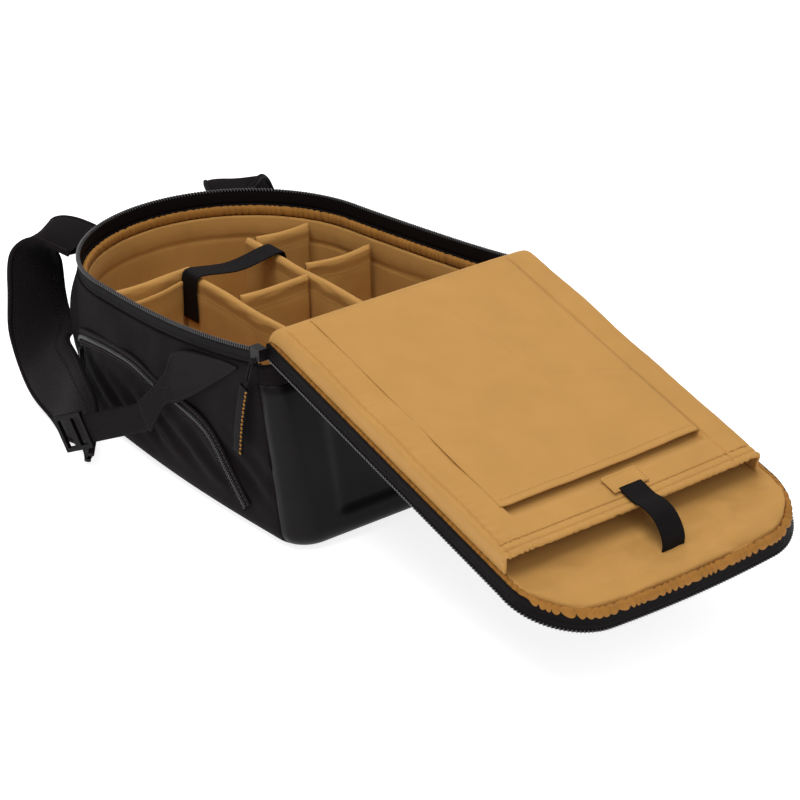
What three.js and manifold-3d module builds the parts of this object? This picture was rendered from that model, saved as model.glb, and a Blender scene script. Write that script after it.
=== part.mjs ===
// Padded gear backpack lying on its front, opened on its back panel: a bag body with
// dividers, and the hinged back panel with a padded sleeve and a flat pocket.
// Millimetres, +Z up. The origin is the middle of the face that it lies on, +X runs
// from the top end of the bag to its bottom end and on along the open panel.
import * as THREE from 'three';
import { mergeVertices } from 'three/addons/utils/BufferGeometryUtils.js';
import Module from 'manifold-3d';

const wasm = await Module();
wasm.setup();

// Body: the U of the rim, straight at the bottom end and round at the top end
const BODY_LENGTH = 420;
const BODY_WIDTH = 300;
const TOP_ARCH_LENGTH = 150;
const SIDE_BULGE = 5;
const RIM_HEIGHT_BOTTOM_END = 185;
const RIM_HEIGHT_TOP_END = 149;
const RIM_SAG_LENGTH = 175;
const CORNER_RADIUS_RIM = 14;
const CORNER_RADIUS_FLOOR = 34;
const FRONT_EDGE_RADIUS = 16;
const LEAST_RADIUS = 3;

// Walls, the clearance between pieces, and how far a cutting body runs past its piece
const SHELL_WALL = 3.5;
const LINING_WALL = 5.5;
const GAP = 0.35;
const CUT_PAST = 5;
const CUT_ABOVE = 20;

// Moulded base at the bottom end
const BASE_FLARE = 34;
const BASE_CURVE = 1.2;
const BASE_TOP_STEP = 18.8;
const BASE_SEAM_AT_FLOOR = 12;
const BASE_SEAM_AT_RIM = -17;
const BASE_RIB_HEIGHT = 3;
const BASE_PANEL_WIDTH = 196;
const BASE_PANEL_SILL = 28;

// Zips, bindings
const RIM_START_STEP = 16;
const RIM_TAPE_HEIGHT = 12;
const RIM_TAPE_INSET = 1;
const TAPE_THICKNESS = 1.6;
const RIM_COIL_RADIUS = 2.2;
const BINDING_HEIGHT = 10;
const BINDING_WIDTH = 6.5;
const GATHER_DEPTH = 0.8;
const GATHERS = 22;
const SIDE_ZIP_WIDTH = 13;
const SIDE_TAPE_THICKNESS = 1.2;
const SIDE_COIL_RADIUS = 1.1;
const SIDE_PULL_WIDTH = 12;
const SIDE_PULL_THICKNESS = 3;
const SLIDER_LENGTH = 13;
const SLIDER_HEIGHT = 11;
const SLIDER_FACE = 5;
const SLIDER_BACK = 1.5;
const CORD_THICKNESS = 2.4;
const PULL_WIDTH = 13;
const PULL_THICKNESS = 3;
const PULL_SWING = 21;

// Dividers
const DIVIDER_HEIGHT = 127;
const DIVIDER_THICKNESS = 11;
const NEAR_LONG_Y = -35;
const FAR_LONG_Y = 55;
const NEAR_CROSS_X = -95;
const TOP_CROSS_X = -114;
const MID_CROSS_X = -10;
const FAR_CROSS_X = -30;

// Straps and webbing
const SHOULDER_WIDTH = 66;
const SHOULDER_THICKNESS = 11;
const SHOULDER_SWELL = 1.5;
const STRAP_STEPS = 24;
const WEBBING_WIDTH = 28;
const WEBBING_THICKNESS = 1.6;
const GEAR_STRAP_WIDTH = 25;
const GEAR_STRAP_DROP = 46;
const GEAR_STRAP_HEM = 16;
const GEAR_STRAP_BEND = 2;
const GEAR_STRAP_SAG = 4;
const LOCK_WIDTH = 36;
const LOCK_LENGTH = 30;
const LOCK_THICKNESS = 5;
const LOCK_RIM = 4;
const SLEEVE_STRAP_WIDTH = 24;
const SLEEVE_STRAP_Y = 1.5;
const SLEEVE_STRAP_REACH = 40;
const WING_THICKNESS = 2;
const WING_HEM = 3;
const WING_SLEEVE_OUT = 17;
const LOCK_OUT = 58.5;
const LOCK_HEIGHT = 36;

// Open back panel: it turns about the bottom end of the rim and follows the body's
// length and width
const PANEL_TILT = 16;
const PANEL_SEAT = 2.64;
const PANEL_END_STEP = 22;
const PANEL_SIDE_STEP = 7;
const PANEL_HEEL = 6;
const PANEL_CORNER_RADIUS = 56;
const PANEL_END_BOW = 8;
const PANEL_RIM_FLARE = 10;
const PANEL_THICKNESS = 11;
const PANEL_EDGE_RADIUS = 9;
const PANEL_LINING_THICKNESS = 7;
const PANEL_LINING_EDGE = 3;
const PANEL_TAPE_HEIGHT = 10;
const PANEL_TAPE_DROP = 2;
const PANEL_BINDING_HEIGHT = 7;
const PANEL_ROOM_BACK = 14;
const PANEL_ROOM_SIDE = 2;
const PANEL_ROOM_BELOW = 1;
const HINGE_CLOTH = 1.2;
const HINGE_WIDTH_SHARE = 0.88;
const HINGE_LEG = 5.5;
const HINGE_REACH = 22;
const HINGE_SEWN = 14;

// Sleeve and pocket on the open panel
const SLEEVE_END_STEP = 80;
const SLEEVE_HEIGHT = 21;
const SLEEVE_OVERHANG = 1;
const SLEEVE_SEAM_INSET = 41;
const SLEEVE_FAR_INSET = 12;
const SLEEVE_ROLL = 9;
const SLEEVE_HEEL = 18;
const SLEEVE_WALL = 3;
const POCKET_HEEL = 12;
const POCKET_INSET = 30;
const POCKET_MOUTH_STEP = 46;
const POCKET_MOUTH_OPEN = 16;
const POCKET_DEPTH = 6;
const POCKET_SHEET = 1.5;
const POCKET_BACK = 2;

const HINGE_X = BODY_LENGTH / 2;
const HALF_WIDTH = BODY_WIDTH / 2;
const ARCH_X = TOP_ARCH_LENGTH - HINGE_X;
const TILT = THREE.MathUtils.degToRad(PANEL_TILT);
const SLEEVE_FLOOR = -SLEEVE_HEIGHT - GAP;
const PANEL_TOP = SLEEVE_FLOOR - PANEL_LINING_THICKNESS - GAP;
const PANEL_BOTTOM = PANEL_TOP - PANEL_THICKNESS;
const PANEL_LENGTH = BODY_LENGTH - PANEL_END_STEP;
const HALF_PANEL = HALF_WIDTH - PANEL_SIDE_STEP;
const SLEEVE_LENGTH = PANEL_LENGTH - SLEEVE_END_STEP;
const SLEEVE_NEAR_Y = -HALF_PANEL - SLEEVE_OVERHANG;
const SLEEVE_SEAM_Y = HALF_PANEL - SLEEVE_SEAM_INSET;
const SLEEVE_FAR_Y = HALF_PANEL - SLEEVE_FAR_INSET;
const POCKET_NEAR_Y = POCKET_INSET - HALF_PANEL;
const POCKET_MOUTH = SLEEVE_LENGTH - POCKET_MOUTH_STEP;
const POCKET_END = POCKET_MOUTH + POCKET_MOUTH_OPEN;

const lerp = THREE.MathUtils.lerp;
const v = (x, y, z) => new THREE.Vector3(x, y, z);

const finish = (color, roughness, metalness = 0) =>
  new THREE.MeshStandardMaterial({ color, roughness, metalness });
const blackCloth = finish(0x211e20, 0.85);
const tanCloth = finish(0xc08d4c, 0.8);
const tanBinding = finish(0xb07a36, 0.8);
const blackWebbing = finish(0x242021, 0.75);
const blackPlastic = finish(0x1a1a1b, 0.45);
const moulding = finish(0x232323, 0.4);
const zipCoil = finish(0x3a3a3c, 0.5);

// Closed solid from rings with equal point counts; flat gives a cap's 2D points
function loft(rings, flat = null) {
  const count = rings[0].length;
  const positions = rings.flat().flatMap((p) => [p.x, p.y, p.z]);
  const index = [];
  for (let r = 0; r < rings.length - 1; r += 1) {
    for (let i = 0; i < count; i += 1) {
      const a = r * count + i;
      const b = r * count + ((i + 1) % count);
      index.push(a, b, b + count, a, b + count, a + count);
    }
  }
  const cap = (ring, base, turned) => {
    const points = flat ? ring.map(flat) : null;
    const faces = points
      ? THREE.ShapeUtils.triangulateShape(points, [])
      : ring.slice(2).map((_, i) => [0, i + 1, i + 2]);
    for (const [a, b, c] of faces) {
      const area = points ? cross2(points[a], points[b], points[c]) : 1;
      const ordered = area > 0 ? [a, b, c] : [a, c, b];
      if (turned) ordered.reverse();
      index.push(...ordered.map((k) => base + k));
    }
  };
  const turning = flat ? ringArea(rings[0].map(flat)) > 0 : true;
  cap(rings[0], 0, turning);
  const endTurning = flat ? ringArea(rings.at(-1).map(flat)) > 0 : true;
  cap(rings.at(-1), (rings.length - 1) * count, !endTurning);
  const geometry = new THREE.BufferGeometry();
  geometry.setAttribute('position', new THREE.Float32BufferAttribute(positions, 3));
  geometry.setIndex(index);
  return outward(geometry);
}

function cross2(a, b, c) {
  return (b.x - a.x) * (c.y - a.y) - (b.y - a.y) * (c.x - a.x);
}

function ringArea(points) {
  return THREE.ShapeUtils.area(points);
}

// Turns every face round if the solid came out inside out
function outward(geometry) {
  const p = geometry.attributes.position;
  const index = geometry.index.array;
  const corner = [v(0, 0, 0), v(0, 0, 0), v(0, 0, 0)];
  let volume = 0;
  for (let i = 0; i < index.length; i += 3) {
    corner.forEach((c, k) => c.fromBufferAttribute(p, index[i + k]));
    volume += corner[0].dot(corner[1].clone().cross(corner[2]));
  }
  if (volume < 0) {
    for (let i = 0; i < index.length; i += 3) {
      [index[i], index[i + 1]] = [index[i + 1], index[i]];
    }
  }
  return geometry;
}

// Booleans
function toSolid(geometry) {
  const bare = geometry.clone();
  for (const name of Object.keys(bare.attributes)) {
    if (name !== 'position') bare.deleteAttribute(name);
  }
  const merged = mergeVertices(bare, 1e-4);
  return new wasm.Manifold(new wasm.Mesh({
    numProp: 3,
    vertProperties: new Float32Array(merged.attributes.position.array),
    triVerts: new Uint32Array(merged.index.array),
  }));
}

function toGeometry(solid) {
  const mesh = solid.getMesh();
  const geometry = new THREE.BufferGeometry();
  geometry.setAttribute('position', new THREE.BufferAttribute(mesh.vertProperties, 3));
  geometry.setIndex(new THREE.BufferAttribute(mesh.triVerts, 1));
  return geometry;
}

const cut = (geometry, ...tools) =>
  toGeometry(tools.reduce((solid, tool) => solid.subtract(toSolid(tool)), toSolid(geometry)));
const common = (a, b) => toGeometry(toSolid(a).intersect(toSolid(b)));

function block(from, to) {
  const geometry = new THREE.BoxGeometry(to.x - from.x, to.y - from.y, to.z - from.z);
  geometry.translate((from.x + to.x) / 2, (from.y + to.y) / 2, (from.z + to.z) / 2);
  return geometry;
}

// Heights of the rim and of the wall under its zip tape
function rimHeight(x) {
  const lift = RIM_HEIGHT_BOTTOM_END - RIM_HEIGHT_TOP_END;
  const fade = (at) => Math.exp((at - HINGE_X) / RIM_SAG_LENGTH);
  return RIM_HEIGHT_TOP_END + lift * (fade(x) - fade(-HINGE_X)) / (1 - fade(-HINGE_X));
}

const wallTop = (x) => rimHeight(x) - RIM_TAPE_HEIGHT - RIM_COIL_RADIUS;

const BASE_HEIGHT = wallTop(HINGE_X) - BASE_TOP_STEP;

// The panel's back edge sits on the wall's top end
const PANEL_HINGE_HEIGHT = wallTop(HINGE_X) + PANEL_SEAT - PANEL_BOTTOM * Math.cos(TILT);

// Outward swell of the long sides
function sideSwell(x) {
  const along = THREE.MathUtils.clamp((HINGE_X - x) / (HINGE_X - ARCH_X), 0, 1);
  return SIDE_BULGE * Math.sin(Math.PI * along);
}

// Body outline, from the middle of the bottom end round the near side, the top arch
// and the far side
const END_STEPS = 2;
const CORNER_STEPS = 3;
const SIDE_STEPS = 6;
const ARCH_STEPS = 10;
const EDGE_STEPS = 3;
const WALL_LEVELS = [0.4, 0.7, 1];

function bodyRing(inset, heightAt) {
  const share = heightAt(HINGE_X) / wallTop(HINGE_X);
  const end = HINGE_X + BASE_FLARE * Math.max(0, 1 - share) ** BASE_CURVE - inset;
  const half = HALF_WIDTH - inset;
  const radius = lerp(CORNER_RADIUS_FLOOR, CORNER_RADIUS_RIM, share);
  const corner = Math.max(LEAST_RADIUS, radius - inset);
  const near = [];
  for (let i = 0; i < END_STEPS; i += 1) {
    near.push([end, -(half - corner) * i / END_STEPS]);
  }
  for (let i = 0; i < CORNER_STEPS; i += 1) {
    const turn = (Math.PI / 2) * i / CORNER_STEPS;
    near.push([
      end - corner + corner * Math.cos(turn),
      corner - half - corner * Math.sin(turn),
    ]);
  }
  for (let i = 0; i < SIDE_STEPS; i += 1) {
    const x = lerp(end - corner, ARCH_X, i / SIDE_STEPS);
    near.push([x, -half - sideSwell(x)]);
  }
  for (let i = 0; i <= ARCH_STEPS; i += 1) {
    const turn = (Math.PI / 2) * i / ARCH_STEPS;
    near.push([ARCH_X - (TOP_ARCH_LENGTH - inset) * Math.sin(turn), -half * Math.cos(turn)]);
  }
  const far = near.slice(1, -1).reverse().map(([x, y]) => [x, -y]);
  return [...near, ...far].map(([x, y]) => v(x, y, heightAt(x)));
}

const onPlan = (p) => new THREE.Vector2(p.x, p.y);

// Rings of one skin of the body, rounded where the walls meet the front face
function bodySkin(inset, bottom, topDrop, edgeRadius) {
  const rings = [];
  for (let i = 0; i <= EDGE_STEPS; i += 1) {
    const turn = (Math.PI / 2) * i / EDGE_STEPS;
    const rise = edgeRadius * (1 - Math.cos(turn));
    rings.push(bodyRing(inset + edgeRadius * (1 - Math.sin(turn)), () => bottom + rise));
  }
  for (const level of WALL_LEVELS) {
    const from = bottom + edgeRadius;
    rings.push(bodyRing(inset, (x) => lerp(from, wallTop(x) - topDrop, level)));
  }
  return rings;
}

const solidBody = (inset, bottom, topDrop, edgeRadius) =>
  loft(bodySkin(inset, bottom, topDrop, edgeRadius), onPlan);

function hollowBody(inset, wall, bottom, topDrop, edgeRadius, floor = wall) {
  const outer = bodySkin(inset, bottom, topDrop, edgeRadius);
  const innerRadius = Math.max(LEAST_RADIUS, edgeRadius - floor);
  const inner = bodySkin(inset + wall, bottom + floor, topDrop, innerRadius);
  return loft([...outer, ...inner.reverse()], onPlan);
}

// Point on the outside of the body's side wall, and the way out of it, in plan
function wallPlace(x, side, out = 0) {
  if (x >= ARCH_X) {
    return { x, y: side * (HALF_WIDTH + sideSwell(x) + out), outX: 0, outY: side };
  }
  const turn = Math.asin(Math.min(1, (ARCH_X - x) / TOP_ARCH_LENGTH));
  const slope = v(-Math.sin(turn) / TOP_ARCH_LENGTH, side * Math.cos(turn) / HALF_WIDTH, 0);
  slope.normalize();
  return {
    x: x + slope.x * out,
    y: side * HALF_WIDTH * Math.cos(turn) + slope.y * out,
    outX: slope.x,
    outY: slope.y,
  };
}

// Places round the U of the body's rim, from its near end to its far end
const RIM_START_X = HINGE_X - RIM_START_STEP;
const RIM_SIDE_STEPS = 8;

function bodyRimPlaces() {
  const near = [];
  for (let i = 0; i < RIM_SIDE_STEPS; i += 1) {
    near.push(wallPlace(lerp(RIM_START_X, ARCH_X, i / RIM_SIDE_STEPS), -1));
  }
  for (let i = 0; i <= ARCH_STEPS; i += 1) {
    const turn = (Math.PI / 2) * i / ARCH_STEPS;
    near.push(wallPlace(ARCH_X - TOP_ARCH_LENGTH * Math.sin(turn), -1));
  }
  const far = near.slice(0, -1).reverse().map((p) => ({ ...p, y: -p.y, outY: -p.outY }));
  return [...near, ...far];
}

// Strip along places with an outward way; section(share) gives [out, up] corners
function rimStrip(places, heightAt, section) {
  const rings = places.map((p, i) => {
    const corners = section(i / (places.length - 1), p);
    const z = heightAt(p.x);
    return corners.map(([out, up]) => v(p.x + p.outX * out, p.y + p.outY * out, z + up));
  });
  return loft(rings);
}

const rect = (out0, out1, up0, up1) => [[out0, up0], [out1, up0], [out1, up1], [out0, up1]];

function polygon(out, up, radiusOut, radiusUp, sides) {
  return Array.from({ length: sides }, (_, i) => {
    const turn = 2 * Math.PI * i / sides;
    return [out + radiusOut * Math.cos(turn), up + radiusUp * Math.sin(turn)];
  });
}

function gathered(out, up, width, height) {
  return (share) => {
    const swell = GATHER_DEPTH * (Math.sin(2 * Math.PI * GATHERS * share) - 1) / 2;
    return polygon(out, up, width / 2 + swell, height / 2 + swell / 2, 8);
  };
}

// Flat band through stations {at, side, width}: side is the way across the band, and
// way, if given, the way along it
function band(stations, thickness, bulge = 0) {
  const rings = stations.map((station, i) => {
    const before = stations[Math.max(0, i - 1)].at;
    const after = stations[Math.min(stations.length - 1, i + 1)].at;
    const along = station.way ?? after.clone().sub(before).normalize();
    const side = station.side.clone().addScaledVector(along, -station.side.dot(along));
    side.normalize();
    const up = along.clone().cross(side).normalize();
    const half = station.width / 2;
    const edge = (station.thickness ?? thickness) / 2;
    const middle = edge + bulge;
    const section = bulge
      ? [[-half, -edge * 0.5], [-half * 0.8, -edge], [0, -middle], [half * 0.8, -edge],
        [half, -edge * 0.5], [half, edge * 0.5], [half * 0.8, edge], [0, middle],
        [-half * 0.8, edge], [-half, edge * 0.5]]
      : [[-half, -edge], [half, -edge], [half, edge], [-half, edge]];
    return section.map(([a, b]) => (
      station.at.clone().addScaledVector(side, a).addScaledVector(up, b)
    ));
  });
  return loft(rings);
}

// The same stations with more between them, on smooth curves
function smooth(stations, steps) {
  const places = new THREE.CatmullRomCurve3(stations.map((station) => station.at));
  const sides = new THREE.CatmullRomCurve3(stations.map((station) => station.side));
  return Array.from({ length: steps + 1 }, (_, i) => {
    const share = i / steps;
    const place = share * (stations.length - 1);
    const before = Math.min(Math.floor(place), stations.length - 2);
    return {
      at: places.getPoint(share),
      side: sides.getPoint(share),
      width: lerp(stations[before].width, stations[before + 1].width, place - before),
    };
  });
}

// Body pieces
const baseRegion = (clearance) => {
  const lean = (BASE_SEAM_AT_RIM - BASE_SEAM_AT_FLOOR) / wallTop(HINGE_X);
  const seamX = (z) => HINGE_X + BASE_SEAM_AT_FLOOR + lean * z - clearance;
  const reach = HINGE_X + BASE_FLARE + CUT_ABOVE;
  const top = BASE_HEIGHT + clearance;
  const profile = [
    [seamX(-CUT_PAST), -CUT_PAST], [reach, -CUT_PAST], [reach, top], [seamX(top), top],
  ];
  return loft([-BODY_WIDTH, BODY_WIDTH].map((y) => profile.map(([x, z]) => v(x, y, z))));
};

// Room that the open panel takes above the bottom end of the body
function panelRoom() {
  const half = HALF_PANEL + PANEL_ROOM_SIDE;
  const room = block(
    v(-PANEL_ROOM_BACK, -half, PANEL_BOTTOM - PANEL_ROOM_BELOW),
    v(PANEL_LENGTH, half, RIM_HEIGHT_BOTTOM_END),
  );
  room.rotateY(TILT);
  room.translate(HINGE_X, 0, PANEL_HINGE_HEIGHT);
  return room;
}

function bodyShell() {
  const skin = hollowBody(0, SHELL_WALL, 0, 0, FRONT_EDGE_RADIUS);
  return cut(skin, baseRegion(GAP / 2), panelRoom());
}

function mouldedBase() {
  const wall = BASE_RIB_HEIGHT + SHELL_WALL;
  const ribbed = hollowBody(-BASE_RIB_HEIGHT, wall, 0, 0, FRONT_EDGE_RADIUS, SHELL_WALL);
  const half = BASE_PANEL_WIDTH / 2;
  const around = block(
    v(HINGE_X, -half, BASE_PANEL_SILL),
    v(HINGE_X + BASE_FLARE + CUT_ABOVE, half, BASE_HEIGHT + CUT_PAST),
  );
  const panelRecess = cut(around, solidBody(0, 0, -CUT_ABOVE, FRONT_EDGE_RADIUS));
  return cut(common(ribbed, baseRegion(-GAP / 2)), panelRecess);
}

const LINING_INSET = SHELL_WALL + GAP;
const LINING_INNER = LINING_INSET + LINING_WALL;
const LINING_EDGE = FRONT_EDGE_RADIUS - SHELL_WALL;

const bodyLining = () => cut(
  hollowBody(LINING_INSET, LINING_WALL, LINING_INSET, BINDING_HEIGHT + GAP, LINING_EDGE),
  panelRoom(),
);

const rimPlaces = bodyRimPlaces();

const bodyZipTape = () => rimStrip(rimPlaces, wallTop,
  () => rect(-TAPE_THICKNESS - RIM_TAPE_INSET, -RIM_TAPE_INSET, GAP, RIM_TAPE_HEIGHT - GAP));

const bodyZipCoil = () => rimStrip(rimPlaces, rimHeight, () => polygon(
  -RIM_TAPE_INSET - TAPE_THICKNESS / 2, 0, RIM_COIL_RADIUS, RIM_COIL_RADIUS, 6,
));

const bodyBinding = () => rimStrip(rimPlaces.slice(1, -1), wallTop, gathered(
  -LINING_INSET - BINDING_WIDTH / 2, -BINDING_HEIGHT / 2, BINDING_WIDTH, BINDING_HEIGHT,
));

// Dividers: slabs with a round top, trimmed to the lined hollow
const HOLLOW_FLOOR = LINING_INNER + GAP;

function dividerSlab(from, to, thickness, across) {
  const radius = thickness / 2;
  const shoulder = DIVIDER_HEIGHT - radius - HOLLOW_FLOOR;
  const profile = [[-radius, 0], [radius, 0]];
  for (const turn of [0, 45, 90, 135, 180]) {
    const angle = THREE.MathUtils.degToRad(turn);
    profile.push([radius * Math.cos(angle), shoulder + radius * Math.sin(angle)]);
  }
  const rings = [from, to].map((along) => profile.map(([side, up]) => (
    across.lengthwise
      ? v(along, across.at + side, HOLLOW_FLOOR + up)
      : v(across.at + side, along, HOLLOW_FLOOR + up)
  )));
  return loft(rings);
}

const HOLLOW_EDGE = Math.max(LEAST_RADIUS, LINING_EDGE - LINING_WALL);
const hollowRoom = solidBody(HOLLOW_FLOOR, HOLLOW_FLOOR, -CUT_ABOVE, HOLLOW_EDGE);
const HALF_DIVIDER = DIVIDER_THICKNESS / 2;
const JOINT = HALF_DIVIDER + GAP;
const fitted = (from, to, across) => (
  common(dividerSlab(from, to, DIVIDER_THICKNESS, across), hollowRoom)
);
const nearLong = { at: NEAR_LONG_Y, lengthwise: true };
const farLong = { at: FAR_LONG_Y, lengthwise: true };

const dividers = {
  divider_near_cross: fitted(-BODY_WIDTH, NEAR_LONG_Y + HALF_DIVIDER, { at: NEAR_CROSS_X }),
  divider_near_long: fitted(NEAR_CROSS_X + JOINT, BODY_LENGTH, nearLong),
  divider_mid_cross: fitted(NEAR_LONG_Y + JOINT, FAR_LONG_Y - JOINT, { at: MID_CROSS_X }),
  divider_far_long: fitted(TOP_CROSS_X - HALF_DIVIDER, BODY_LENGTH, farLong),
  divider_top_cross: fitted(FAR_LONG_Y + JOINT, BODY_WIDTH, { at: TOP_CROSS_X }),
  divider_far_cross: fitted(FAR_LONG_Y + JOINT, BODY_WIDTH, { at: FAR_CROSS_X }),
};

// Strap across the largest bay, from the far long divider over the near long divider
const GEAR_STRAP_X = NEAR_CROSS_X + JOINT + GEAR_STRAP_WIDTH / 2 + 2 * GAP;

function gearStrap() {
  const clear = WEBBING_THICKNESS / 2 + GAP;
  const top = DIVIDER_HEIGHT + clear;
  const nearFace = NEAR_LONG_Y - HALF_DIVIDER - clear;
  const farFace = FAR_LONG_Y + HALF_DIVIDER + clear;
  const bend = GEAR_STRAP_BEND;
  const profile = [
    [farFace + bend / 4, top - GEAR_STRAP_HEM], [farFace + bend / 4, top - 2 * bend],
    [farFace - bend, top], [FAR_LONG_Y, top + bend / 2],
    [(FAR_LONG_Y + NEAR_LONG_Y) / 2, top - GEAR_STRAP_SAG],
    [NEAR_LONG_Y, top + bend / 2], [nearFace + bend, top],
    [nearFace - bend / 4, top - 2 * bend], [nearFace - bend / 4, top - GEAR_STRAP_DROP],
  ];
  const width = GEAR_STRAP_WIDTH;
  const stations = profile.map(([y, z]) => ({ at: v(GEAR_STRAP_X, y, z), side: v(1, 0, 0), width }));
  return band(stations, WEBBING_THICKNESS);
}

// Side door zip on the near wall: places as shares of the body's length and rim height
const SIDE_ZIP_PATH = [
  { along: -0.307, height: 0.45 }, { along: -0.285, height: 0.51 }, { along: -0.225, height: 0.58 },
  { along: -0.167, height: 0.617 }, { along: -0.085, height: 0.641 }, { along: 0, height: 0.65 },
  { along: 0.1, height: 0.604 }, { along: 0.195, height: 0.58 }, { along: 0.288, height: 0.51 },
  { along: 0.357, height: 0.322 }, { along: 0.415, height: 0.15 },
];

function sideZip(out, width, thickness) {
  const stations = SIDE_ZIP_PATH.map(({ along, height }) => {
    const place = wallPlace(along * BODY_LENGTH, -1, out);
    return { place, at: v(place.x, place.y, height * RIM_HEIGHT_TOP_END), width };
  });
  stations.forEach((station, i) => {
    const before = stations[Math.max(0, i - 1)].at;
    const after = stations[Math.min(stations.length - 1, i + 1)].at;
    const along = after.clone().sub(before);
    station.side = along.cross(v(station.place.outX, station.place.outY, 0)).normalize();
  });
  return band(stations, thickness);
}

const SIDE_TAPE_OUT = 2 * GAP + SIDE_TAPE_THICKNESS / 2;
const SIDE_COIL_OUT = SIDE_TAPE_OUT + SIDE_TAPE_THICKNESS / 2 + GAP + SIDE_COIL_RADIUS;
const sideDoorTape = () => sideZip(SIDE_TAPE_OUT, SIDE_ZIP_WIDTH, SIDE_TAPE_THICKNESS);
const sideDoorCoil = () => sideZip(SIDE_COIL_OUT, 2 * SIDE_COIL_RADIUS, 2 * SIDE_COIL_RADIUS);

// Pull of the side zip: heights as shares of the rim's, the rest as shares of its own
// width and thickness
const SIDE_PULL_ROWS = [
  { height: 0.41, width: 0.33, thickness: 0.67 }, { height: 0.36, width: 0.42, thickness: 0.67 },
  { height: 0.29, width: 0.42, thickness: 0.67 }, { height: 0.26, width: 0.92, thickness: 1 },
  { height: 0.2, width: 1, thickness: 1 }, { height: 0.17, width: 0.5, thickness: 1 },
];

function sideZipPull() {
  const out = 2 * GAP + SIDE_PULL_THICKNESS / 2;
  const place = wallPlace(SIDE_ZIP_PATH[0].along * BODY_LENGTH, -1, out);
  return band(SIDE_PULL_ROWS.map(({ height, width, thickness }) => ({
    at: v(place.x, place.y, height * RIM_HEIGHT_TOP_END),
    side: v(-place.outY, place.outX, 0),
    width: width * SIDE_PULL_WIDTH,
    thickness: thickness * SIDE_PULL_THICKNESS,
  })), SIDE_PULL_THICKNESS);
}

// Compression wing: a stitched tab on the side wall and the sleeve round the webbing
const WING_SEWN = WING_THICKNESS / 2 + GAP;
const WING_LIFTED = SIDE_COIL_OUT + SIDE_COIL_RADIUS + 2 * GAP + WING_THICKNESS / 2;
const WING_EDGE = [
  { along: 0.405, low: 1.05, high: 1.06, out: WING_SEWN },
  { along: 0.34, low: 0.91, high: 1.045, out: WING_SEWN },
  { along: 0.19, low: 0.61, high: 0.945, out: WING_LIFTED },
  { along: 0.165, low: 0.585, high: 0.80, out: WING_LIFTED + WING_THICKNESS },
];
const WING_SLEEVE = { along: 0.1, out: WING_SLEEVE_OUT, height: 0.44 };
const LOCK_PLACE = { along: -0.055, out: LOCK_OUT, height: LOCK_HEIGHT };

function wingTab(side) {
  const row = ({ along, low, high, out }) => {
    const place = wallPlace(along * BODY_LENGTH, side, out);
    return {
      low: v(place.x, place.y, low * RIM_HEIGHT_TOP_END),
      high: v(place.x, place.y, high * RIM_HEIGHT_TOP_END),
    };
  };
  const tab = WING_EDGE.map(row).map(({ low, high }) => ({
    at: low.clone().add(high).multiplyScalar(0.5),
    side: high.clone().sub(low).normalize(),
    width: high.distanceTo(low),
  }));
  const { start, along, across } = webbingEnds(side);
  tab.push({ at: start, side: across, way: along, width: WEBBING_WIDTH + WING_HEM });
  return band(tab, WING_THICKNESS);
}

function lockCentre(side) {
  const { along, out, height } = LOCK_PLACE;
  return v(along * BODY_LENGTH, side * (HALF_WIDTH + out), height);
}

function webbingEnds(side) {
  const sleeve = wallPlace(WING_SLEEVE.along * BODY_LENGTH, side, WING_SLEEVE.out);
  const start = v(sleeve.x, sleeve.y, WING_SLEEVE.height * RIM_HEIGHT_TOP_END);
  const end = lockCentre(side);
  const along = end.clone().sub(start).normalize();
  const across = v(0, 0, 1).addScaledVector(along, -along.z).normalize();
  return { start, end, along, across };
}

function webbing(side) {
  const { start, end, along, across } = webbingEnds(side);
  const from = start.clone().addScaledVector(along, GAP);
  const to = end.clone().addScaledVector(along, -LOCK_LENGTH / 2 - GAP);
  const width = WEBBING_WIDTH;
  return band([from, to].map((at) => ({ at, side: across, width })), WEBBING_THICKNESS);
}

// Ladder lock: a frame with a middle bar; its slots are shares of half its length
const LOCK_SLOTS = [{ from: -0.78, to: -0.2 }, { from: 0.2, to: 0.78 }];

function ladderLock(side) {
  const { end, along, across } = webbingEnds(side);
  const half = v(LOCK_LENGTH, LOCK_WIDTH, LOCK_THICKNESS).multiplyScalar(0.5);
  const slots = LOCK_SLOTS.map(({ from, to }) => block(
    v(from * half.x, LOCK_RIM - half.y, -LOCK_THICKNESS),
    v(to * half.x, half.y - LOCK_RIM, LOCK_THICKNESS),
  ));
  const frame = cut(block(half.clone().negate(), half), ...slots);
  const up = along.clone().cross(across);
  return frame.applyMatrix4(new THREE.Matrix4().makeBasis(along, across, up).setPosition(end));
}

// Shoulder straps: places as shares of half the body's length, half its width and
// the rim's height at the top end; lean is the way from the inner to the outer edge
const STRAP_STATIONS = [
  { along: -0.80, across: 0.50, height: 0.86, lean: [0.50, 0.85, 0], width: 0.97 },
  { along: -1.06, across: 0.66, height: 0.95, lean: [0.40, 0.88, -0.05], width: 1 },
  { along: -1.13, across: 0.80, height: 0.91, lean: [0.30, 0.92, -0.15], width: 1 },
  { along: -1.095, across: 0.88, height: 0.70, lean: [0.22, 0.95, -0.22], width: 1 },
  { along: -1.035, across: 0.91, height: 0.49, lean: [0.22, 0.92, -0.30], width: 1 },
  { along: -0.92, across: 0.935, height: 0.335, lean: [0.28, 0.80, -0.50], width: 1 },
  { along: -0.76, across: 1.04, height: 0.255, lean: [0.28, 0.62, -0.72], width: 1 },
  { along: -0.52, across: 1.11, height: 0.23, lean: [0.20, 0.50, -0.84], width: 1 },
  { along: -0.31, across: 1.205, height: 0.21, lean: [0.15, 0.45, -0.88], width: 0.92 },
  { along: -0.17, across: 1.235, height: 0.15, lean: [0.12, 0.40, -0.90], width: 0.56 },
  { along: -0.07, across: 1.33, height: 0.062, lean: [0.10, 0.40, -0.90], width: 0.20 },
];

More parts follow.
